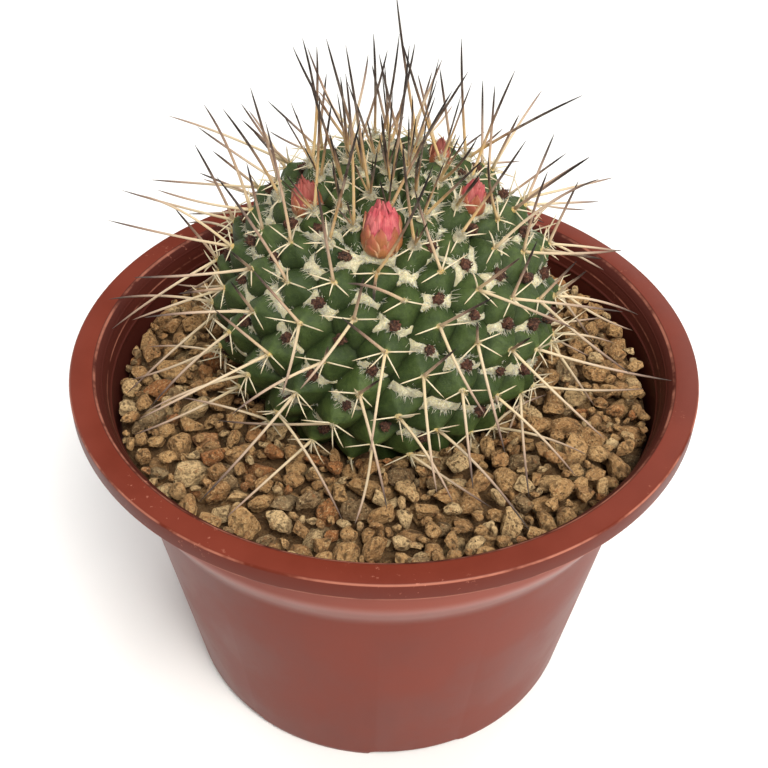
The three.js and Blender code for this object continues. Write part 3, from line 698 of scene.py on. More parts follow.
bodySet = {
    "lowest": 92.5,  # tubercles under this height are only the smooth old base
    "base": [(0, 70), (5.5, 70.6), (12, 88.6), (27, 88.6), (31, 97.5), (0, 97.5)], "baseY": 11, "baseFillet": 1.2,
    "fleshTo": 128, "fleshRings": 60, "fleshDepth": 0.96, "fleshLowest": 96.5,  # the flesh under the grooves
    # groove: painted shade, a near-black green for the grooves between tubercles
    "groove": (0.006, 0.010, 0.003), "skin": (0.017, 0.034, 0.006), "light": (0.068, 0.104, 0.021),
    "young": (0.16, 0.19, 0.05), "lint": (0.30, 0.33, 0.22), "cork": (0.2, 0.13, 0.07),
    "oldCork": (0.09, 0.0585, 0.0315),
}


def skinMaterial():
    s = Shader("cactusSkin")
    rise, cork, tone, here = s.mask("rise"), s.mask("cork"), s.mask("tone"), s.place()
    spots = s.mottled(150.0, 2600.0, 2200.0, 7.7)
    green = s.layered(bodySet, "skin", [
        (s.plus(s.times(spots["Cloud"], 0.45), s.times(tone, 0.45)), "light"),
        # painted shade, darker down into the grooves
        (s.window(rise, 0.7, 0.05, 0.9), "groove"),
        (s.window(rise, 0.9, 1.0, 0.8), "young"),
        (s.times(spots["Pits"], 0.4), "light"),  # freckles
        (s.window(s.noise(here, 330, 5, 0.75), 0.45, 0.62, 0.65), "skin"),  # blotches
        (s.window(s.noise(here, 520, 6, 0.8, 1.5), 0.52, 0.66, 0.4), "light"),  # scuffs
        (s.window(s.noise(here, 1900, 2, 0.9, 3), 0.70, 0.78, 0.45), "lint"),
    ])
    bark = s.layered(bodySet, "cork", [(spots["Cloud"], "oldCork")])
    s.put({"Base Color": s.blend(cork, green, bark), "Specular IOR Level": 0.34,
           "Roughness": s.window(spots["Grain"], 0.3, 0.7, 0.7, 0.5)})
    wrinkles = s.noise(here, 700, 4, 0.7, 0.8)
    s.bump(s.plus(s.times(spots["Grain"], 0.5), s.times(wrinkles, 1.2)), 0.3, 0.8)
    return s.material


def dome(heap, middle, across, up, out, reach, height, rings, spokes, drop, sink, droop=0.0, **masks):
    # a closed lobe under a middle point, with reach(angles) and drop(t), t from 0 in the middle to 1
    angles = evenAngles(spokes)
    t = np.sin(np.linspace(0, math.pi / 2, rings + 1))[:0:-1, None]
    far = reach(angles) * t
    deep = height * drop(t) + far ** 2 / (2 * plantSet["radius"])
    x, y = far * np.cos(angles), far * np.sin(angles) - droop * deep
    points = middle + x[..., None] * across + y[..., None] * up - deep[..., None] * out
    points = np.vstack([points.reshape(-1, 3), middle - out * (height + sink), middle])
    rise = np.append(np.repeat(1 - drop(t), spokes), [0, 1])
    heap.add(points, ringFaces(rings, spokes), rise=rise, **masks)


def makeBody():
    heap = Heap()
    tone = seededRandom(71)
    for i in range(len(tips)):
        shade = tone()
        if tips[i, 2] < bodySet["lowest"]:
            continue
        dome(heap, tips[i], sideward[i], upward[i], outward[i], lambda a, i=i: reachAt(i, a), lobeHeight[i],
             lobeSet["rings"], lobeSet["spokes"], lobeDrop, lobeSet["sink"], lobeSet["droop"], cork=0.0, tone=shade)
    for points in heap.points:  # no two lobes are quite alike
        for wobble in lobeSet["wobble"]:
            points += shaken(points, *wobble)

    # The flesh under the grooves, and the old corky base with its root
    polar = np.linspace(0, math.radians(bodySet["fleshTo"]), bodySet["fleshRings"])
    profile = np.stack([np.sin(polar), np.cos(polar)], -1)[::-1]
    profile[0, 0] = profile[-1, 0] = 0
    points, faces = turned(profile, 120)
    nearest = np.argmax(unit(points) @ tipWay.T, axis=1)
    points = onGlobe(points, lobeHeight[nearest] * bodySet["fleshDepth"])
    points[:, 2] = np.maximum(points[:, 2], bodySet["fleshLowest"])
    heap.add(points, faces, rise=0.0, cork=0.0, tone=0.3)
    points, faces = turned(rounded([(r, z, bodySet["baseFillet"]) for r, z in bodySet["base"]], 3), 64)
    heap.add(points + [0, bodySet["baseY"], 0], faces, rise=0.5, cork=1.0, tone=0.3)
    makePiece("cactus_body", heap, skinMaterial(), "cactus")


makeBody()


# Spines

spineSet = {
    "central": 0.42, "radial": 0.22, "crownRadius": 0.29,  # half their thickness
    "longFrom": 12, "rootIn": 0.4, "rootOut": 0.55, "lowest": 100, "widest": 87, "budRoom": 0.6, "sag": 0.05,
    "crownUntil": 0.62, "darkUntil": 1.35,  # radians from the crown
    "sides": [(-90, 0.8), (-48, 0.22), (-132, 0.22)],  # short side spines: angle and chance
    "sheaf": 24, "innerSheaf": 10,  # how many of the youngest tubercles carry the crown's dense sheaf
    "worn": (0.52, 0.42, 0.33),
    "upper": [(0.0, (0.58, 0.41, 0.18)), (0.25, (0.42, 0.26, 0.10)), (0.44, (0.17, 0.09, 0.045)),
              (0.60, (0.035, 0.02, 0.015)), (1.0, (0.005, 0.004, 0.005))],
    "aged": [(0.0, (0.60, 0.45, 0.26)), (0.3, (0.42, 0.28, 0.18)), (0.58, (0.22, 0.135, 0.095)),
             (0.76, (0.06, 0.037, 0.03)), (1.0, (0.010, 0.008, 0.009))],
    "lower": [(0.0, (0.60, 0.48, 0.28)), (0.35, (0.58, 0.46, 0.30)), (0.7, (0.36, 0.25, 0.18)),
              (0.9, (0.14, 0.09, 0.07)), (1.0, (0.05, 0.035, 0.03))],
    "side": [(0.0, (0.56, 0.46, 0.25)), (0.3, (0.68, 0.61, 0.43)), (1.0, (0.58, 0.46, 0.29))],
}
needleSet = {"sides": (3, 6), "shortest": 2.2, "narrow": 0.94, "twoPart": 11}  # tells the solid's needles


def packedNeedles():
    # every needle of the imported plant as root, bend and tip, so that the fine spines keep their places
    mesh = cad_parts["cactus"].data
    co = np.array([v.co for v in mesh.vertices]) / mm
    keys = {}
    welded = np.array([keys.setdefault(tuple(np.round(p, 3)), len(keys)) for p in co])
    places = np.zeros((len(keys), 3))
    places[welded] = co
    linked = [set() for _ in keys]
    for edge in mesh.edges:
        a, b = welded[edge.vertices[0]], welded[edge.vertices[1]]
        if a != b:
            linked[a].add(b)
            linked[b].add(a)
    found = []
    for v, around in enumerate(linked):
        if not needleSet["sides"][0] <= len(around) <= needleSet["sides"][1]:
            continue
        ring = sorted(around)
        ways = places[ring] - places[v]
        lengths = np.linalg.norm(ways, axis=1)
        pointing = unit(ways)
        if lengths.min() < needleSet["shortest"] or (pointing @ pointing.T).min() < needleSet["narrow"]:
            continue
        bend = places[ring[:3]].mean(0)
        below = set().union(*(linked[r] for r in ring)) - around - {v}
        twoPart = lengths.mean() > needleSet["twoPart"] and below
        root = places[sorted(below)].mean(0) if twoPart else bend
        found.append((root, bend, places[v]))
    return found


def alongCurve(start, bend, end, steps):
    t = np.linspace(0, 1, steps)[:, None]
    control = 2 * bend - (start + end) / 2
    return (1 - t) ** 2 * start + 2 * t * (1 - t) * control + t * t * end


def addSpine(heap, line, thick, sides, kind, tone):
    steps = len(line)
    share = np.linspace(0, 1, steps)
    swollen = 1.15 - 0.15 * np.clip(share * 8, 0, 1)  # at the root
    girth = thick * swollen * (1 - 0.26 * share - 0.62 * share ** 9)
    ahead = unit(np.gradient(line, axis=0))
    points = line[:, None] + ringsAcross(ahead, [0.31, 0.17, 0.93], sides) * girth[:, None, None]
    points = np.vstack([points.reshape(-1, 3), line[0] - ahead[0] * thick, line[-1] + ahead[-1] * 0.25 * thick])
    along = np.append(np.repeat(share, sides), [0, 1])
    heap.add(points, ringFaces(steps, sides), along=along, kind=kind, tone=tone)


def spineMaterial():
    s = Shader("spineHorn")
    along, kind, tone = s.mask("along"), s.mask("kind"), s.mask("tone")
    pushed = s.plus(along, s.times(s.minus(tone, 0.5), 0.3), clamp=True)
    colour = s.ramp(pushed, spineSet["side"])
    for name, low, high in (("lower", 0.1, 0.3), ("aged", 0.4, 0.6), ("upper", 0.7, 0.9)):
        colour = s.blend(s.window(kind, low, high), colour, s.ramp(pushed, spineSet[name]))
    spots = s.mottled(420.0, 3000.0, 1500.0, 2.2)
    wear = s.times(spots["Cloud"], s.window(along, 0.4, 0.8, 0.06, 0.35))
    s.put({"Base Color": s.blend(wear, colour, spineSet["worn"]), "Specular IOR Level": 0.2,
           "Roughness": s.window(spots["Grain"], 0.3, 0.7, 0.65, 0.45)})
    s.bump(spots["Grain"], 0.06, 0.5)
    return s.material


def makeSpines():
    heap = Heap()
    draw = seededRandom(83)
    between = lambda low, high: low + (high - low) * draw()
    clear = []
    packed = packedNeedles()
    print("needles in the packed plant:", len(packed))
    for root, bend, tip in packed:
        i = int(np.argmin(np.linalg.norm(tips - root, axis=1)))
        start = tips[i] - outward[i] * spineSet["rootIn"] + spineSet["rootOut"] * unit(tip - tips[i])
        middle = bend if np.linalg.norm(bend - root) > 4 else (start + tip) / 2
        middle = middle * 0.7 + (start + tip) * 0.15
        kind, thick, steps, sides = 0.0, spineSet["radial"], 6, 6
        if np.linalg.norm(tip - start) > spineSet["longFrom"]:
            rises = unit(tip - start) @ upward[i] > 0.05 and tipPolar[i] < spineSet["darkUntil"]
            kind = 1.0 if tipPolar[i] < spineSet["crownUntil"] else (0.65 if rises else 0.35)
            thick, steps, sides = spineSet["central"], 13, 8
        line = alongCurve(start, middle, tip, steps)
        addSpine(heap, line, thick, sides, kind, draw())
        clear.append(line)

    def addAt(i, aim, length, thick, kind, sag=spineSet["sag"]):
        way = unit(aim[0] * outward[i] + aim[1] * upward[i] + aim[2] * sideward[i])
        start = tips[i] - outward[i] * spineSet["rootIn"]
        tip = start + way * length
        bend = (start + tip) / 2 + outward[i] * sag * length
        tooFar = tip[2] > cadHigh[2] / mm - 1 or np.hypot(tip[0], tip[1]) > spineSet["widest"]
        if tooFar or nearBud(tip, spineSet["budRoom"], 1):
            return
        line = alongCurve(start, bend, tip, 8 if length > spineSet["longFrom"] else 5)
        addSpine(heap, line, thick, 6, kind, draw())
        clear.append(line)

    for i in range(len(tips)):
        if tips[i, 2] < spineSet["lowest"]:
            continue
        for angle, chance in spineSet["sides"]:
            if draw() < chance:
                a = math.radians(angle + between(-14, 14))
                addAt(i, (0.55, math.sin(a), math.cos(a)), between(4.5, 8), spineSet["radial"], 0.0)
        if tipPolar[i] > 1.25 or draw() < 0.3:
            addAt(i, (0.8, 0.75, between(-0.5, 0.5)), between(5, 9), spineSet["radial"] * 1.2, 0.0)
        if i < spineSet["sheaf"]:
            for _ in range(3 if i < spineSet["innerSheaf"] else 2):
                addAt(i, (1, between(-0.1, 0.2) - 0.3 * tipPolar[i], between(-0.3, 0.3)), between(10, 25),
                      spineSet["crownRadius"], 1.0, 0.0)
    makePiece("cactus_spines", heap, spineMaterial())
    return np.concatenate(clear)


spinePoints = makeSpines()


# Gravel

gravelSet = {
    "floorHeight": 94.0, "level": 105.4, "uneven": 1.2, "tries": 16, "most": 1290,
    "coarse": (2.7, 5.5), "small": (1.4, 2.9),  # radii
    "fill": 0.5, "fillMisses": 700,  # the coarse ones come first, up to this share or this many misses
    "lastMisses": 3000,
    "smallLower": 1.7, "overlap": 0.83, "fromPlant": 0.3, "plantFlat": 1.12, "fromSpines": 0.6,
    "innerRing": 34, "outerRing": 78.2, "lowest": 88.6, "highest": 107.5,
    "knocks": (9, 13), "knockedAt": (0.45, 0.82), "squeeze": [(1, 1.2), (0.64, 0.92), (0.52, 0.82)], "swell": 1.13,
    "fine": 84, "plain": 440,  # how many of the top stones have the finest mesh, and the next
    "shadeReach": 1.3,  # painted shade darkens a stone where it comes this near to a neighbouring stone
    "bed": [(0, 88.4), (75.5, 88.4), (77.2, 92.5), (77.6, 96.5), (0, 96.5)], "bedStep": 2.5, "bedRoughFrom": 93,
    "tan": (0.66, 0.40, 0.170), "ochre": (0.40, 0.205, 0.080), "pale": (0.84, 0.61, 0.32),
    "rust": (0.40, 0.135, 0.04), "grey": (0.20, 0.14, 0.075), "brown": (0.20, 0.1025, 0.040),
    # crevice: painted shade between and under the stones, and the colour of the pits
    "crevice": (0.04, 0.021, 0.009),
}


def settleStones():
    # stones are let down one by one, each into the lowest of a few random seats
    random = np.random.default_rng(31)
    most, tries, overlap = gravelSet["most"], gravelSet["tries"], gravelSet["overlap"]
    inner, outer = gravelSet["innerRing"], gravelSet["outerRing"]
    placed = np.empty((most, 4))
    count = misses = 0
    centre = plantSet["centre"]
    while count < most and misses < gravelSet["lastMisses"]:
        coarse = misses < gravelSet["fillMisses"] and count < gravelSet["fill"] * most
        least, widest = gravelSet["coarse" if coarse else "small"]
        size = least + (widest - least) * random.random() ** 1.6  # more small ones than large
        angle = 2 * math.pi * random.random(tries)
        farthest = outer - size * 0.86
        far = np.sqrt(inner ** 2 + random.random(tries) * (farthest ** 2 - inner ** 2))
        x, y = far * np.cos(angle), far * np.sin(angle)
        near = placed[:count]
        reach = overlap * (near[:, 3] + size)
        gap = reach ** 2 - (near[:, 0] - x[:, None]) ** 2 - (near[:, 1] - y[:, None]) ** 2
        rest = np.where(gap > 0, near[:, 2] + np.sqrt(np.maximum(gap, 0)), 0)
        z = np.maximum(gravelSet["floorHeight"] + 0.5 * size, rest.max(1, initial=0))
        rise = gravelSet["plantFlat"] * (z - centre[2])
        fromPlant = np.sqrt((x - centre[0]) ** 2 + (y - centre[1]) ** 2 + rise ** 2)
        z = np.where(fromPlant < plantSet["radius"] + gravelSet["fromPlant"] * size, 999, z)
        best = int(np.argmin(z))
        seat = np.array([x[best], y[best], z[best]])
        limit = gravelSet["level"] + gravelSet["uneven"] * float(softNoise(seat * [1, 1, 0], 16, 8))
        limit -= 0 if coarse else gravelSet["smallLower"]
        fromSpines = np.linalg.norm(spinePoints - seat, axis=1).min() - 0.75 * size
        if seat[2] + 0.75 * size > limit or fromSpines < gravelSet["fromSpines"]:
            misses += 1
            continue
        placed[count] = [*seat, size]
        count += 1
    print("stones:", count, "misses:", misses)
    return placed[:count]


def roundBall(level):
    bm = bmesh.new()
    bmesh.ops.create_icosphere(bm, subdivisions=level, radius=1.0)
    points = np.array([v.co for v in bm.verts])
    faces = np.array([[v.index for v in f.verts] for f in bm.faces])
    bm.free()
    return points, faces


def brokenStone(ball, random, size):
    # a ball knocked flat by soft planes, squeezed, turned and pitted
    points = ball.copy()
    for _ in range(random.integers(*gravelSet["knocks"])):
        face = unit(random.normal(size=3))
        at = random.uniform(*gravelSet["knockedAt"])
        over = points @ face - at
        points -= np.where(over > 0, over * 0.93, 0)[:, None] * face
    points *= np.array([random.uniform(*ends) for ends in gravelSet["squeeze"]]) * size * gravelSet["swell"]
    shift = random.uniform(-400, 400, 3)
    out = unit(points)
    lump = 0.07 * size * softNoise(points + shift, 0.6 * size, 3) + 0.16 * softNoise(points + shift, 0.9, 5)
    pits = np.clip(softNoise(points + shift, 0.8, 9) - 0.25, 0, 1) * -0.5
    points += out * (lump + pits)[:, None]
    turn = np.linalg.qr(random.normal(size=(3, 3)))[0]
    tilt = unit(turn[:, 2] * 0.55 + np.array([0, 0, 1]) * np.sign(turn[2, 2] + 1e-9))  # lies mostly flat
    across = unit(np.cross(tilt, turn[:, 0]))
    frameTurn = np.stack([np.cross(across, tilt), across, tilt], 1)
    return points @ frameTurn.T, pits


def gravelMaterial():
    s = Shader("pumiceGravel")
    tone, hue, deep, here = s.mask("tone"), s.mask("hue"), s.mask("deep"), s.place()
    spots = s.mottled(260.0, 1500.0, 1250.0, s.times(hue, 3.7))
    specks = s.window(s.noise(here, 900, 5, 0.8), 0.40, 0.28, 0.8)
    holes = s.math("MAXIMUM", s.times(spots["Pits"], 0.3), specks)
    holes = s.math("MAXIMUM", holes, s.window(s.mask("pit"), 0.02, 0.2, 0.7))
    stone = s.layered(gravelSet, "ochre", [
        (s.plus(s.times(tone, 0.75), s.times(spots["Cloud"], 0.3), clamp=True), "tan"),
        (s.window(tone, 0.72, 0.95, 0.8), "pale"),
        (s.window(hue, 0.06, 0.04, 0.75), "rust"),
        (s.window(hue, 0.87, 0.90, 0.8), "grey"),
        (s.window(s.noise(here, 420, 4, 0.65, 0.6), 0.56, 0.68, 0.55), "rust"),  # stains
        (s.window(spots["Grain"], 0.5, 0.7, 0.75), "pale"),
        (s.window(s.noise(here, 1100, 5, 0.75, 0.4), 0.47, 0.60, 0.6), "brown"),
        (holes, "crevice"),
        # painted shade from the deep mask: low stones and their contacts with neighbours
        (s.times(deep, 0.8), "crevice"),
    ])
    s.put({"Base Color": stone, "Roughness": 0.92, "Specular IOR Level": 0.25})
    s.bump(s.minus(s.times(spots["Grain"], 1.6), spots["Pits"]), 0.8)
    return s.material


def makeGravel():
    stones = settleStones()
    random = np.random.default_rng(17)
    material = gravelMaterial()
    rank = np.argsort(-(stones[:, 2] + 0.6 * stones[:, 3]))
    names = ["gravel_top", "gravel_under", "gravel_lowest"]
    heaps, balls = [Heap() for _ in names], [roundBall(fineness) for fineness in (4, 3, 2)]
    ends = np.cumsum([gravelSet["fine"], gravelSet["plain"]])
    for order, k in enumerate(rank):
        *middle, size = stones[k]
        layer = int(np.searchsorted(ends, order, side="right"))
        ball, faces = balls[layer]
        points, pits = brokenStone(ball, random, size)
        points = points + middle
        wall = np.hypot(points[:, 0], points[:, 1])
        points[:, :2] *= np.minimum(1, gravelSet["outerRing"] / np.maximum(wall, 1))[:, None]
        points[:, 2] = np.clip(points[:, 2], gravelSet["lowest"], gravelSet["highest"])
        apart = np.linalg.norm(stones[:, :3] - middle, axis=1) - stones[:, 3] - size
        near = stones[(apart < 1.2) & (apart > -2 * size) & (np.arange(len(stones)) != k)]
        gap = (np.linalg.norm(points[:, None] - near[None, :, :3], axis=2) - 0.92 * near[:, 3]).min(1, initial=9)
        # painted shade: darker the lower a stone lies under the gravel's level, and where it nears another stone
        paintedShade = np.clip((gravelSet["level"] - 5.5 - points[:, 2]) / 6, 0, 1)
        paintedShade = np.maximum(paintedShade, 0.7 * np.clip(1 - gap / gravelSet["shadeReach"], 0, 1))
        heaps[layer].add(points, faces, tone=random.random(), hue=random.random(), deep=paintedShade, pit=-pits)
    for name, heap in zip(names, heaps):
        makePiece(name, heap, material, "gravel", smooth=False)
    points, faces = turned(stepped(gravelSet["bed"], gravelSet["bedStep"]), 90)
    upper = points[:, 2] > gravelSet["bedRoughFrom"]
    points[upper, 2] += 1.6 * softNoise(points[upper], 3.4, 2)
    # the bed under the stones is painted in near-full shade
    bed = Heap().add(points, faces, tone=0.2, hue=0.5, deep=0.9, pit=0.0)
    makePiece("gravel_bed", bed, material, "gravel")


makeGravel()


# Wool in the hollows, tufts on the areoles

woolSet = {
    "firstHollow": 14, "lastHollow": 140, "share": 0.94, "across": 7.6, "tall": 6.0, "depth": 3.05, "dip": 1.65,
    "felted": 32, "felt": 0.11, "edge": 105, "edgeThread": 0.1, "feltScale": 1200.0,
    "lowest": 101, "budRoom": 1, "budCollar": 1.6, "budDepth": 3.1, "budDip": 2.2, "budHairs": (60, 110),
    "fluff": [(0.45, 1.7, 3), (0.28, 0.8, 4)],  # height, size, seed
    "padMesh": (9, 40), "tuftMesh": (4, 12),  # rings, spokes
    "guesses": 700,  # places on a pad, of which those above the skin get hairs
    "tuftLowest": 98, "crownUntil": 30,
    "youngTuft": {"size": 1.75, "lift": 0.7, "hairs": 150, "wide": 0.75, "out": 0.45, "longest": 2.3,
                  "thick": 0.95, "tones": (0.1, 0.65)},
    "oldTuft": {"size": 0.95, "lift": 0.45, "hairs": 14, "wide": 0.4, "out": 0.9, "longest": 1.4,
                "thick": 0.8, "tones": (0.5, 1)},
    "colour": (0.84, 0.79, 0.57), "shade": (0.50, 0.44, 0.26), "beige": (0.66, 0.46, 0.19),
}


def hollowAbove(j, settings):  # between a tubercle and the one above it, 21 or 13 places before
    way = unit(tipWay[j] + tipWay[j - (21 if j >= 28 else 13)])
    middle = onGlobe(way, settings["depth"])
    free = middle[2] >= settings["lowest"] and not nearBud(middle, settings["budRoom"])
    return way, middle, free


def addThreads(heap, starts, mids, ends, thick, **masks):  # three-sided tapered hairs, all at once
    ahead = unit(ends - starts)
    ring = ringsAcross(ahead, [0.42, 0.31, 0.85], 3) * thick
    points = np.concatenate([starts[:, None] + ring, mids[:, None] + ring * 0.85, ends[:, None]], 1)
    one = np.array([[0, 2, 1], [0, 1, 4], [0, 4, 3], [1, 2, 5], [1, 5, 4], [2, 0, 3], [2, 3, 5],
                    [3, 4, 6], [4, 5, 6], [5, 3, 6]])
    faces = (one[None] + 7 * np.arange(len(starts))[:, None, None]).reshape(-1, 3)
    heap.add(points.reshape(-1, 3), faces, **{name: np.repeat(mask, 7) for name, mask in masks.items()})


def ovalReach(angle, across, tall):
    return 1 / np.sqrt((np.cos(angle) / across) ** 2 + (np.sin(angle) / tall) ** 2)


def woolMaterial():
    s = Shader("woolFelt")
    tone, rise = s.mask("tone"), s.mask("rise")
    threads = s.node("ShaderNodeGroup", {"Scale": woolSet["feltScale"]}, node_tree=felt)
    colour = s.layered(woolSet, "colour", [
        (s.times(threads["Threads"], 0.9), "shade"),
        (s.window(rise, 0.8, 0.1, 0.6), "shade"),
        (s.window(tone, 0.3, 1.0), "beige"),
    ])
    s.put({"Base Color": colour, "Roughness": 0.9, "Specular IOR Level": 0.03,
           "Emission Color": colour, "Emission Strength": 0.12,  # painted light: a small glow standing in for light scattered inside the fluff
           "Subsurface Weight": 0.5, "Subsurface Radius": (1.0, 0.8, 0.45), "Subsurface Scale": 0.0014})
    s.bump(s.plus(threads["Threads"], threads["Clump"]), 0.2)
    return s.material


def makeWool():
    pads, hairs = Heap(), Heap()
    random = np.random.default_rng(53)

    def patch(way, across, tall, depth, dip, felted, edge):
        # a felted pad in a hollow, hairs on it, and finer hairs over its edges onto the skin
        out = outwardAt(way)
        up = unit(plantAxis - out * (out @ plantAxis))
        wobble = random.uniform(-1, 1, 6)

        def reach(a):
            waves = (wobble[k] * np.sin(n * a + 3 * wobble[k + 1]) for k, n in ((0, 2), (2, 3), (4, 7)))
            return ovalReach(a, across, tall) * (1 + 0.17 * sum(waves))

        dome(pads, onGlobe(way, depth), np.cross(out, up), up, out, reach, dip, *woolSet["padMesh"], lambda t: t ** 2,
             1.5, tone=0.15 * random.random())
        fluff = sum(high * softNoise(pads.points[-1], wide, seed) for high, wide, seed in woolSet["fluff"])
        pads.points[-1] += out * fluff[:, None]

        upWay = unit(np.array([0, 0, 1.0]) - way * way[2])
        sideWay = np.cross(way, upWay)

        def beside(x, y):  # the direction of a place on the pad
            return unit(way + (x[:, None] * sideWay + y[:, None] * upWay) / plantSet["radius"])

        count = woolSet["guesses"]
        angle, far = random.uniform(0, 2 * math.pi, count), np.sqrt(random.uniform(0, 1.1, count))
        x, y = far * reach(angle) * np.cos(angle), far * reach(angle) * np.sin(angle)
        above = skinDepth(beside(x, y)) - depth - dip * far ** 2  # positive where the pad shows above the skin
        for chosen, length, thick, lift, turn in (
            (np.nonzero(above > 0.3)[0][:felted], (1.2, 3.0), woolSet["felt"], 0.35, 3.0),
            (np.nonzero((above > -0.15) & (above < 1))[0][:edge], (0.8, 2.6), woolSet["edgeThread"], 0.16, 0.7),
        ):
            n = len(chosen)
            if n == 0:
                continue
            heading = np.arctan2(y[chosen], x[chosen]) + random.normal(0, turn, n)
            run = random.uniform(*length, n)
            lines = []
            for share, rise in ((0, 0.15), (0.55, 1), (1, 0.25)):
                xs = x[chosen] + share * run * np.cos(heading)
                ys = y[chosen] + share * run * np.sin(heading)
                here = beside(xs, ys)
                farHere = np.hypot(xs, ys) / reach(np.arctan2(ys, xs))
                low = np.minimum(skinDepth(here), depth + dip * farHere ** 2)
                lines.append(onGlobe(here, low - rise * (lift * random.uniform(0.5, 1.3, n) + 0.45 * (ys > 0))))
            addThreads(hairs, *lines, thick, rise=np.ones(n), tone=random.uniform(0, 0.2, n))

    for j in range(woolSet["firstHollow"], woolSet["lastHollow"]):
        way, _, free = hollowAbove(j, woolSet)
        keep, amount = random.random() < woolSet["share"], random.uniform(0.35, 1)
        if not (keep and free):
            continue
        scale = min(1.0, spacing[j] / 13) * (0.42 + 0.58 * amount) * (1 - 0.2 * min(1, max(0, j - 50) / 40))
        patch(way, woolSet["across"] * scale, woolSet["tall"] * scale, woolSet["depth"] + 0.5 * (1 - amount),
              woolSet["dip"], int(woolSet["felted"] * amount), int(woolSet["edge"] * (0.4 + 0.6 * amount)))
    for bud in budSet:
        wide = bud["radius"] + woolSet["budCollar"]
        patch(bud["way"], wide, wide, woolSet["budDepth"], woolSet["budDip"], *woolSet["budHairs"])

    for i in range(len(tips)):
        if tips[i, 2] < woolSet["tuftLowest"]:
            continue
        young = i < woolSet["crownUntil"]
        tuft = woolSet["youngTuft" if young else "oldTuft"]
        n, out = tuft["hairs"], outward[i]
        dome(pads, tips[i] + out * tuft["lift"], sideward[i], upward[i], out,
             lambda a: ovalReach(a, 1.2 * tuft["size"], 0.85 * tuft["size"]), 1.1, *woolSet["tuftMesh"],
             lambda t: t ** 2, 0.5, tone=0.3 if young else random.uniform(0.6, 1))
        start = tips[i] + random.normal(0, tuft["wide"], (n, 3)) + out * 0.35
        spread = unit(out * tuft["out"] + random.normal(0, 0.75, (n, 3)))
        end = start + spread * random.uniform(0.7, tuft["longest"], (n, 1))
        mid = (start + end) / 2 + random.normal(0, 0.2, (n, 3))
        addThreads(hairs, start, mid, end, woolSet["edgeThread"] * tuft["thick"], rise=np.ones(n),
                   tone=random.uniform(*tuft["tones"], n))
    material = woolMaterial()
    makePiece("cactus_wool", pads, material)
    makePiece("cactus_hairs", hairs, material)


makeWool()


# Dried flowers in the hollows

driedSet = {
    "first": 33, "last": 132, "share": 0.62, "size": 1.42, "depth": 2.3, "fineness": 3, "lowest": 103,
    "budRoom": 2.4, "threads": 16, "thread": 0.2,
    "dark": (0.012, 0.006, 0.004), "rust": (0.105, 0.032, 0.017), "straw": (0.26, 0.13, 0.062),
}


def driedMaterial():
    s = Shader("driedFlower")
    spots = s.mottled(520.0, 2400.0, 1500.0, 5.0)
    crust = s.layered(driedSet, "dark", [
        (spots["Cloud"], "rust"),
        (s.window(s.mask("ridge"), 0.1, 0.7, 0.6), "rust"),
        (s.window(spots["Grain"], 0.5, 0.66, 0.8), "straw"),
        (s.times(spots["Pits"], 0.6), "dark"),
    ])
    s.put({"Base Color": crust, "Roughness": 0.85})
    s.bump(s.minus(spots["Grain"], spots["Pits"]), 0.35)
    return s.material


def makeDried():
    heap = Heap()
    draw = seededRandom(29)
    random = np.random.default_rng(29)
    ball, faces = roundBall(driedSet["fineness"])
    for j in range(driedSet["first"], driedSet["last"] + 1):
        keep = draw() < driedSet["share"]
        way, middle, free = hollowAbove(j, driedSet)
        if not (keep and free):
            continue
        out = outwardAt(way)
        side = unit(np.cross(out, [0.3, 0.2, 0.9]))
        other = np.cross(out, side)
        size = driedSet["size"] * random.uniform(0.75, 1.1)
        shift = random.uniform(-300, 300, 3)
        above = ball @ out
        around = np.arctan2(ball @ other, ball @ side)
        flat = np.sqrt(np.clip(1 - above ** 2, 0, 1))
        petals = 0.3 * flat * np.cos(random.integers(5, 8) * around + 2.5 * softNoise(ball * 1.3 + shift, 1, 1))
        folds = np.abs(softNoise(ball * 3.2 + shift, 1, 2)) * 0.75 + 0.2 * softNoise(ball * 7 + shift, 1, 3) - 0.2
        cup = np.clip(above - 0.62, 0, 1) * 1.9  # hollow at the top
        shaped = ball * (1 + 0.45 * petals + folds - cup)[:, None] * size * np.array([1, 0.92, 1])
        shaped = shaped + out * np.clip(above, -1, 1)[:, None] * 0.3 * size
        heap.add(shaped + middle, faces, ridge=np.clip(folds * 1.6 + petals - cup, 0, 1))
        n = driedSet["threads"]
        turn, far = random.uniform(0, 2 * math.pi, n), random.uniform(0.3, 0.9, n)
        sideways = np.cos(turn)[:, None] * side + np.sin(turn)[:, None] * other
        start = middle + sideways * (far * size)[:, None] + out * 0.5 * size
        end = middle + unit(sideways + random.normal(0, 0.4, (n, 3))) * (far * size * 1.25)[:, None]
        end = end + out * size * random.uniform(0.7, 1.5, (n, 1))
        mid = (start + end) / 2 + random.normal(0, 0.2, (n, 3)) + sideways * 0.15
        addThreads(heap, start, mid, end, driedSet["thread"], ridge=random.uniform(0, 1, n))
    makePiece("dried_flowers", heap, driedMaterial())


makeDried()


# Buds

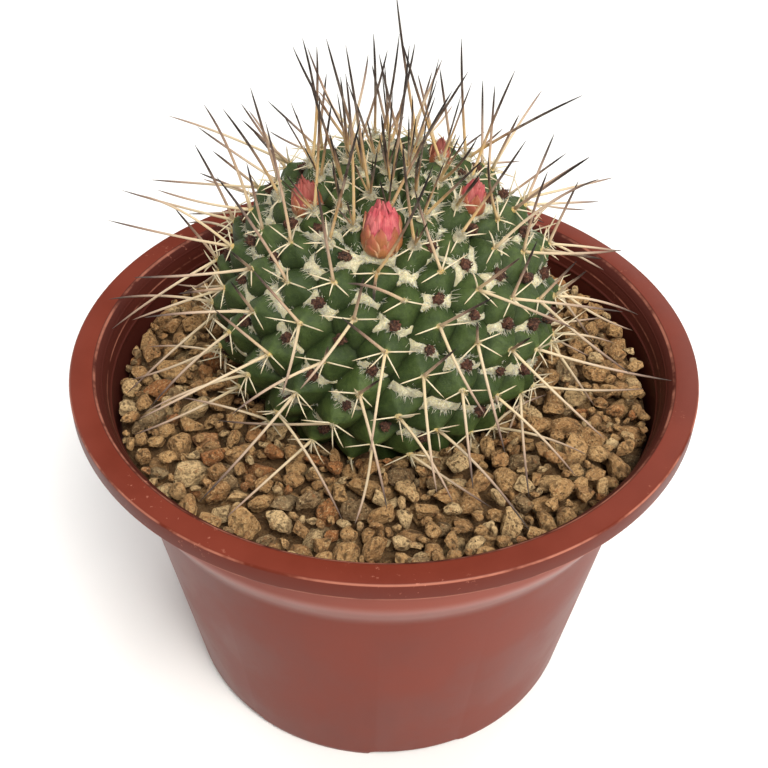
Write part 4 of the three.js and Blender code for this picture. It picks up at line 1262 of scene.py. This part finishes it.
leafSet = {
    "sepalBase": (0.17, 0.14, 0.04), "sepal": (0.42, 0.155, 0.05), "sepalRed": (0.42, 0.095, 0.055),
    "sepalEdge": (0.60, 0.37, 0.20), "petal": (0.55, 0.085, 0.100), "petalPale": (0.72, 0.25, 0.22),
    "petalDeep": (0.25, 0.02, 0.045), "unripe": (0.19, 0.050, 0.020),
    "across": 9, "along": 13,  # points
    "thick": 0.11,  # half of the leaf's thickness
    "wobble": (0.12, 1.6, 11),  # reach, size, seed
    "sepals": [(1.0, 0.42, 0.56), (0.96, 0.55, 0.62), (0.91, 0.68, 0.62)],  # reach, top, half width
    "petals": [(0.86, 0.5, 0.82), (0.76, 0.28, 0.93), (0.55, 0.08, 0.99)],  # reach at its middle, at its tip, top
    "layerTurn": 0.37,
}


def leafMaterial(name, petal):
    s = Shader(name)
    along, across, tone = s.mask("along"), s.mask("across"), s.mask("tone")
    spots = s.mottled(330.0, 2200.0, 1600.0, 4.0)
    veins = s.math("ABSOLUTE", s.math("SINE", s.times(across, 16.0)))
    edge, furrows = s.math("ABSOLUTE", across), s.minus(1.0, veins)
    if petal:
        colour = s.layered(leafSet, "petalDeep", [
            (s.window(along, 0.2, 0.95), "petal"),
            (s.window(spots["Cloud"], 0.2, 1, 0.55), "petalPale"),
            (s.window(edge, 0.6, 1.0, 0.5), "petalPale"),
            (s.times(furrows, 0.35), "petalDeep"),
            (s.window(s.mask("ripe"), 1.0, 0.0, 0.85), "unripe"),
            (s.times(tone, 0.25), "petalDeep"),
        ])
    else:
        reddened = s.plus(along, s.times(spots["Cloud"], 0.3))
        colour = s.layered(leafSet, "sepalBase", [
            (s.window(along, 0.0, 0.35), "sepal"),
            (s.window(reddened, 0.7, 1.1, 0.85), "sepalRed"),
            (s.window(edge, 0.55, 1.0, 0.8), "sepalEdge"),
            (s.times(furrows, 0.22), "sepalBase"),
            (s.times(tone, 0.25), "petalDeep"),
        ])
    s.put({"Base Color": colour, "Roughness": s.window(spots["Grain"], 0.3, 0.7, 0.6, 0.42)})
    s.bump(s.plus(s.times(veins, 0.6), spots["Grain"]), 0.12, 0.7)
    return s.material


def addLeaf(heap, bud, turn, halfWidth, radii, heights, curl, tone, ripple):
    # one thin leaf wrapped round the bud's axis, closed front and back, widest at 0.35 of its length
    across, along, widest = leafSet["across"], leafSet["along"], 0.35
    v, u = np.linspace(0, 1, along), np.linspace(-1, 1, across)
    taper = np.sqrt(np.clip(1 - ((v - widest) / 0.655) ** 2, 0, 1))
    wide = halfWidth * np.where(v < widest, 0.55 + 0.45 * v / widest, taper)
    r = np.interp(v, np.linspace(0, 1, len(radii)), radii)
    angle = turn + wide[:, None] * u
    crease = ripple * (0.5 * np.cos(u * math.pi * 1.5) + 0.15 * np.sin(5 * u + 7 * tone)) * v[:, None]
    radius = r[:, None] + bud["radius"] * (crease + curl * u ** 2 * v[:, None] ** 2)
    z = np.interp(v, [0, 1], heights)[:, None] - 0.06 * bud["length"] * u ** 2 * v[:, None]

    def sheet(offset):
        reach = np.maximum(0.15, radius + offset)
        return np.stack([reach * np.cos(angle), reach * np.sin(angle), z], -1).reshape(-1, 3)

    points = np.vstack([sheet(leafSet["thick"]), sheet(-leafSet["thick"])])
    n = across * along
    k = np.arange(n).reshape(along, across)
    a, b, c, d = k[:-1, :-1].ravel(), k[:-1, 1:].ravel(), k[1:, 1:].ravel(), k[1:, :-1].ravel()
    front = np.concatenate([np.stack([a, b, c], 1), np.stack([a, c, d], 1)])
    back = front[:, ::-1] + n
    edge = np.concatenate([k[0, :], k[1:, -1], k[-1, -2::-1], k[-2:0:-1, 0]])
    after = np.roll(edge, -1)
    rim = np.concatenate([np.stack([edge, edge + n, after + n], 1), np.stack([edge, after + n, after], 1)])
    axis = bud["axis"]
    side = unit(np.cross(axis, [0.0, 1.0, 0.1]))
    placed = points @ np.stack([side, np.cross(axis, side), axis]) + bud["seat"]
    placed += shaken(placed, *leafSet["wobble"])
    heap.add(placed, np.concatenate([front, back, rim]), along=np.tile(np.repeat(v, across), 2),
             across=np.tile(u, 2 * along), tone=tone, ripe=bud["ripe"])


def makeBuds():
    looks = {"sepal": leafMaterial("sepalLeaf", False), "petal": leafMaterial("petalLeaf", True)}
    step = leafSet["layerTurn"]
    for order, bud in enumerate(budSet):
        random = np.random.default_rng(200 + order)
        r, length, n = bud["radius"], bud["length"], bud["petals"]
        heaps = {"sepal": Heap(), "petal": Heap()}
        for layer, (reach, top, wide) in enumerate(leafSet["sepals"]):
            for k in range(n):
                turn = 2 * math.pi * (k + step * layer) / n + random.normal(0, 0.08)
                tall = top * length * random.uniform(0.92, 1.08)
                radii = np.array([0.42, 0.8, 0.99, 1.0, 0.88]) * reach * r * random.uniform(0.98, 1.02)
                addLeaf(heaps["sepal"], bud, turn, wide * 5.6 / n, radii, (0.0, tall), -0.05, random.random(), 0.02)
        for layer, (low, high, top) in enumerate(leafSet["petals"]):
            count = max(4, n - layer)
            for k in range(count):
                turn = 2 * math.pi * (k + step * layer) / count + random.normal(0, 0.1)
                tall = top * length * random.uniform(0.88, 1.02)
                radii = np.array([0.3, low, low, 0.6 * low + 0.4 * high, high]) * r * random.uniform(0.94, 1.04)
                addLeaf(heaps["petal"], bud, turn, 6.3 / count, radii, (0.14 * length, tall), -0.1,
                        random.random(), 0.1)
        for part, heap in heaps.items():
            solid = f"bud_{bud['name']}_{part}s"
            makePiece(f"bud_{bud['name']}_{part}_leaves", heap, looks[part], solid)


makeBuds()

print("done:", sum(faceCounts), "triangles in all")
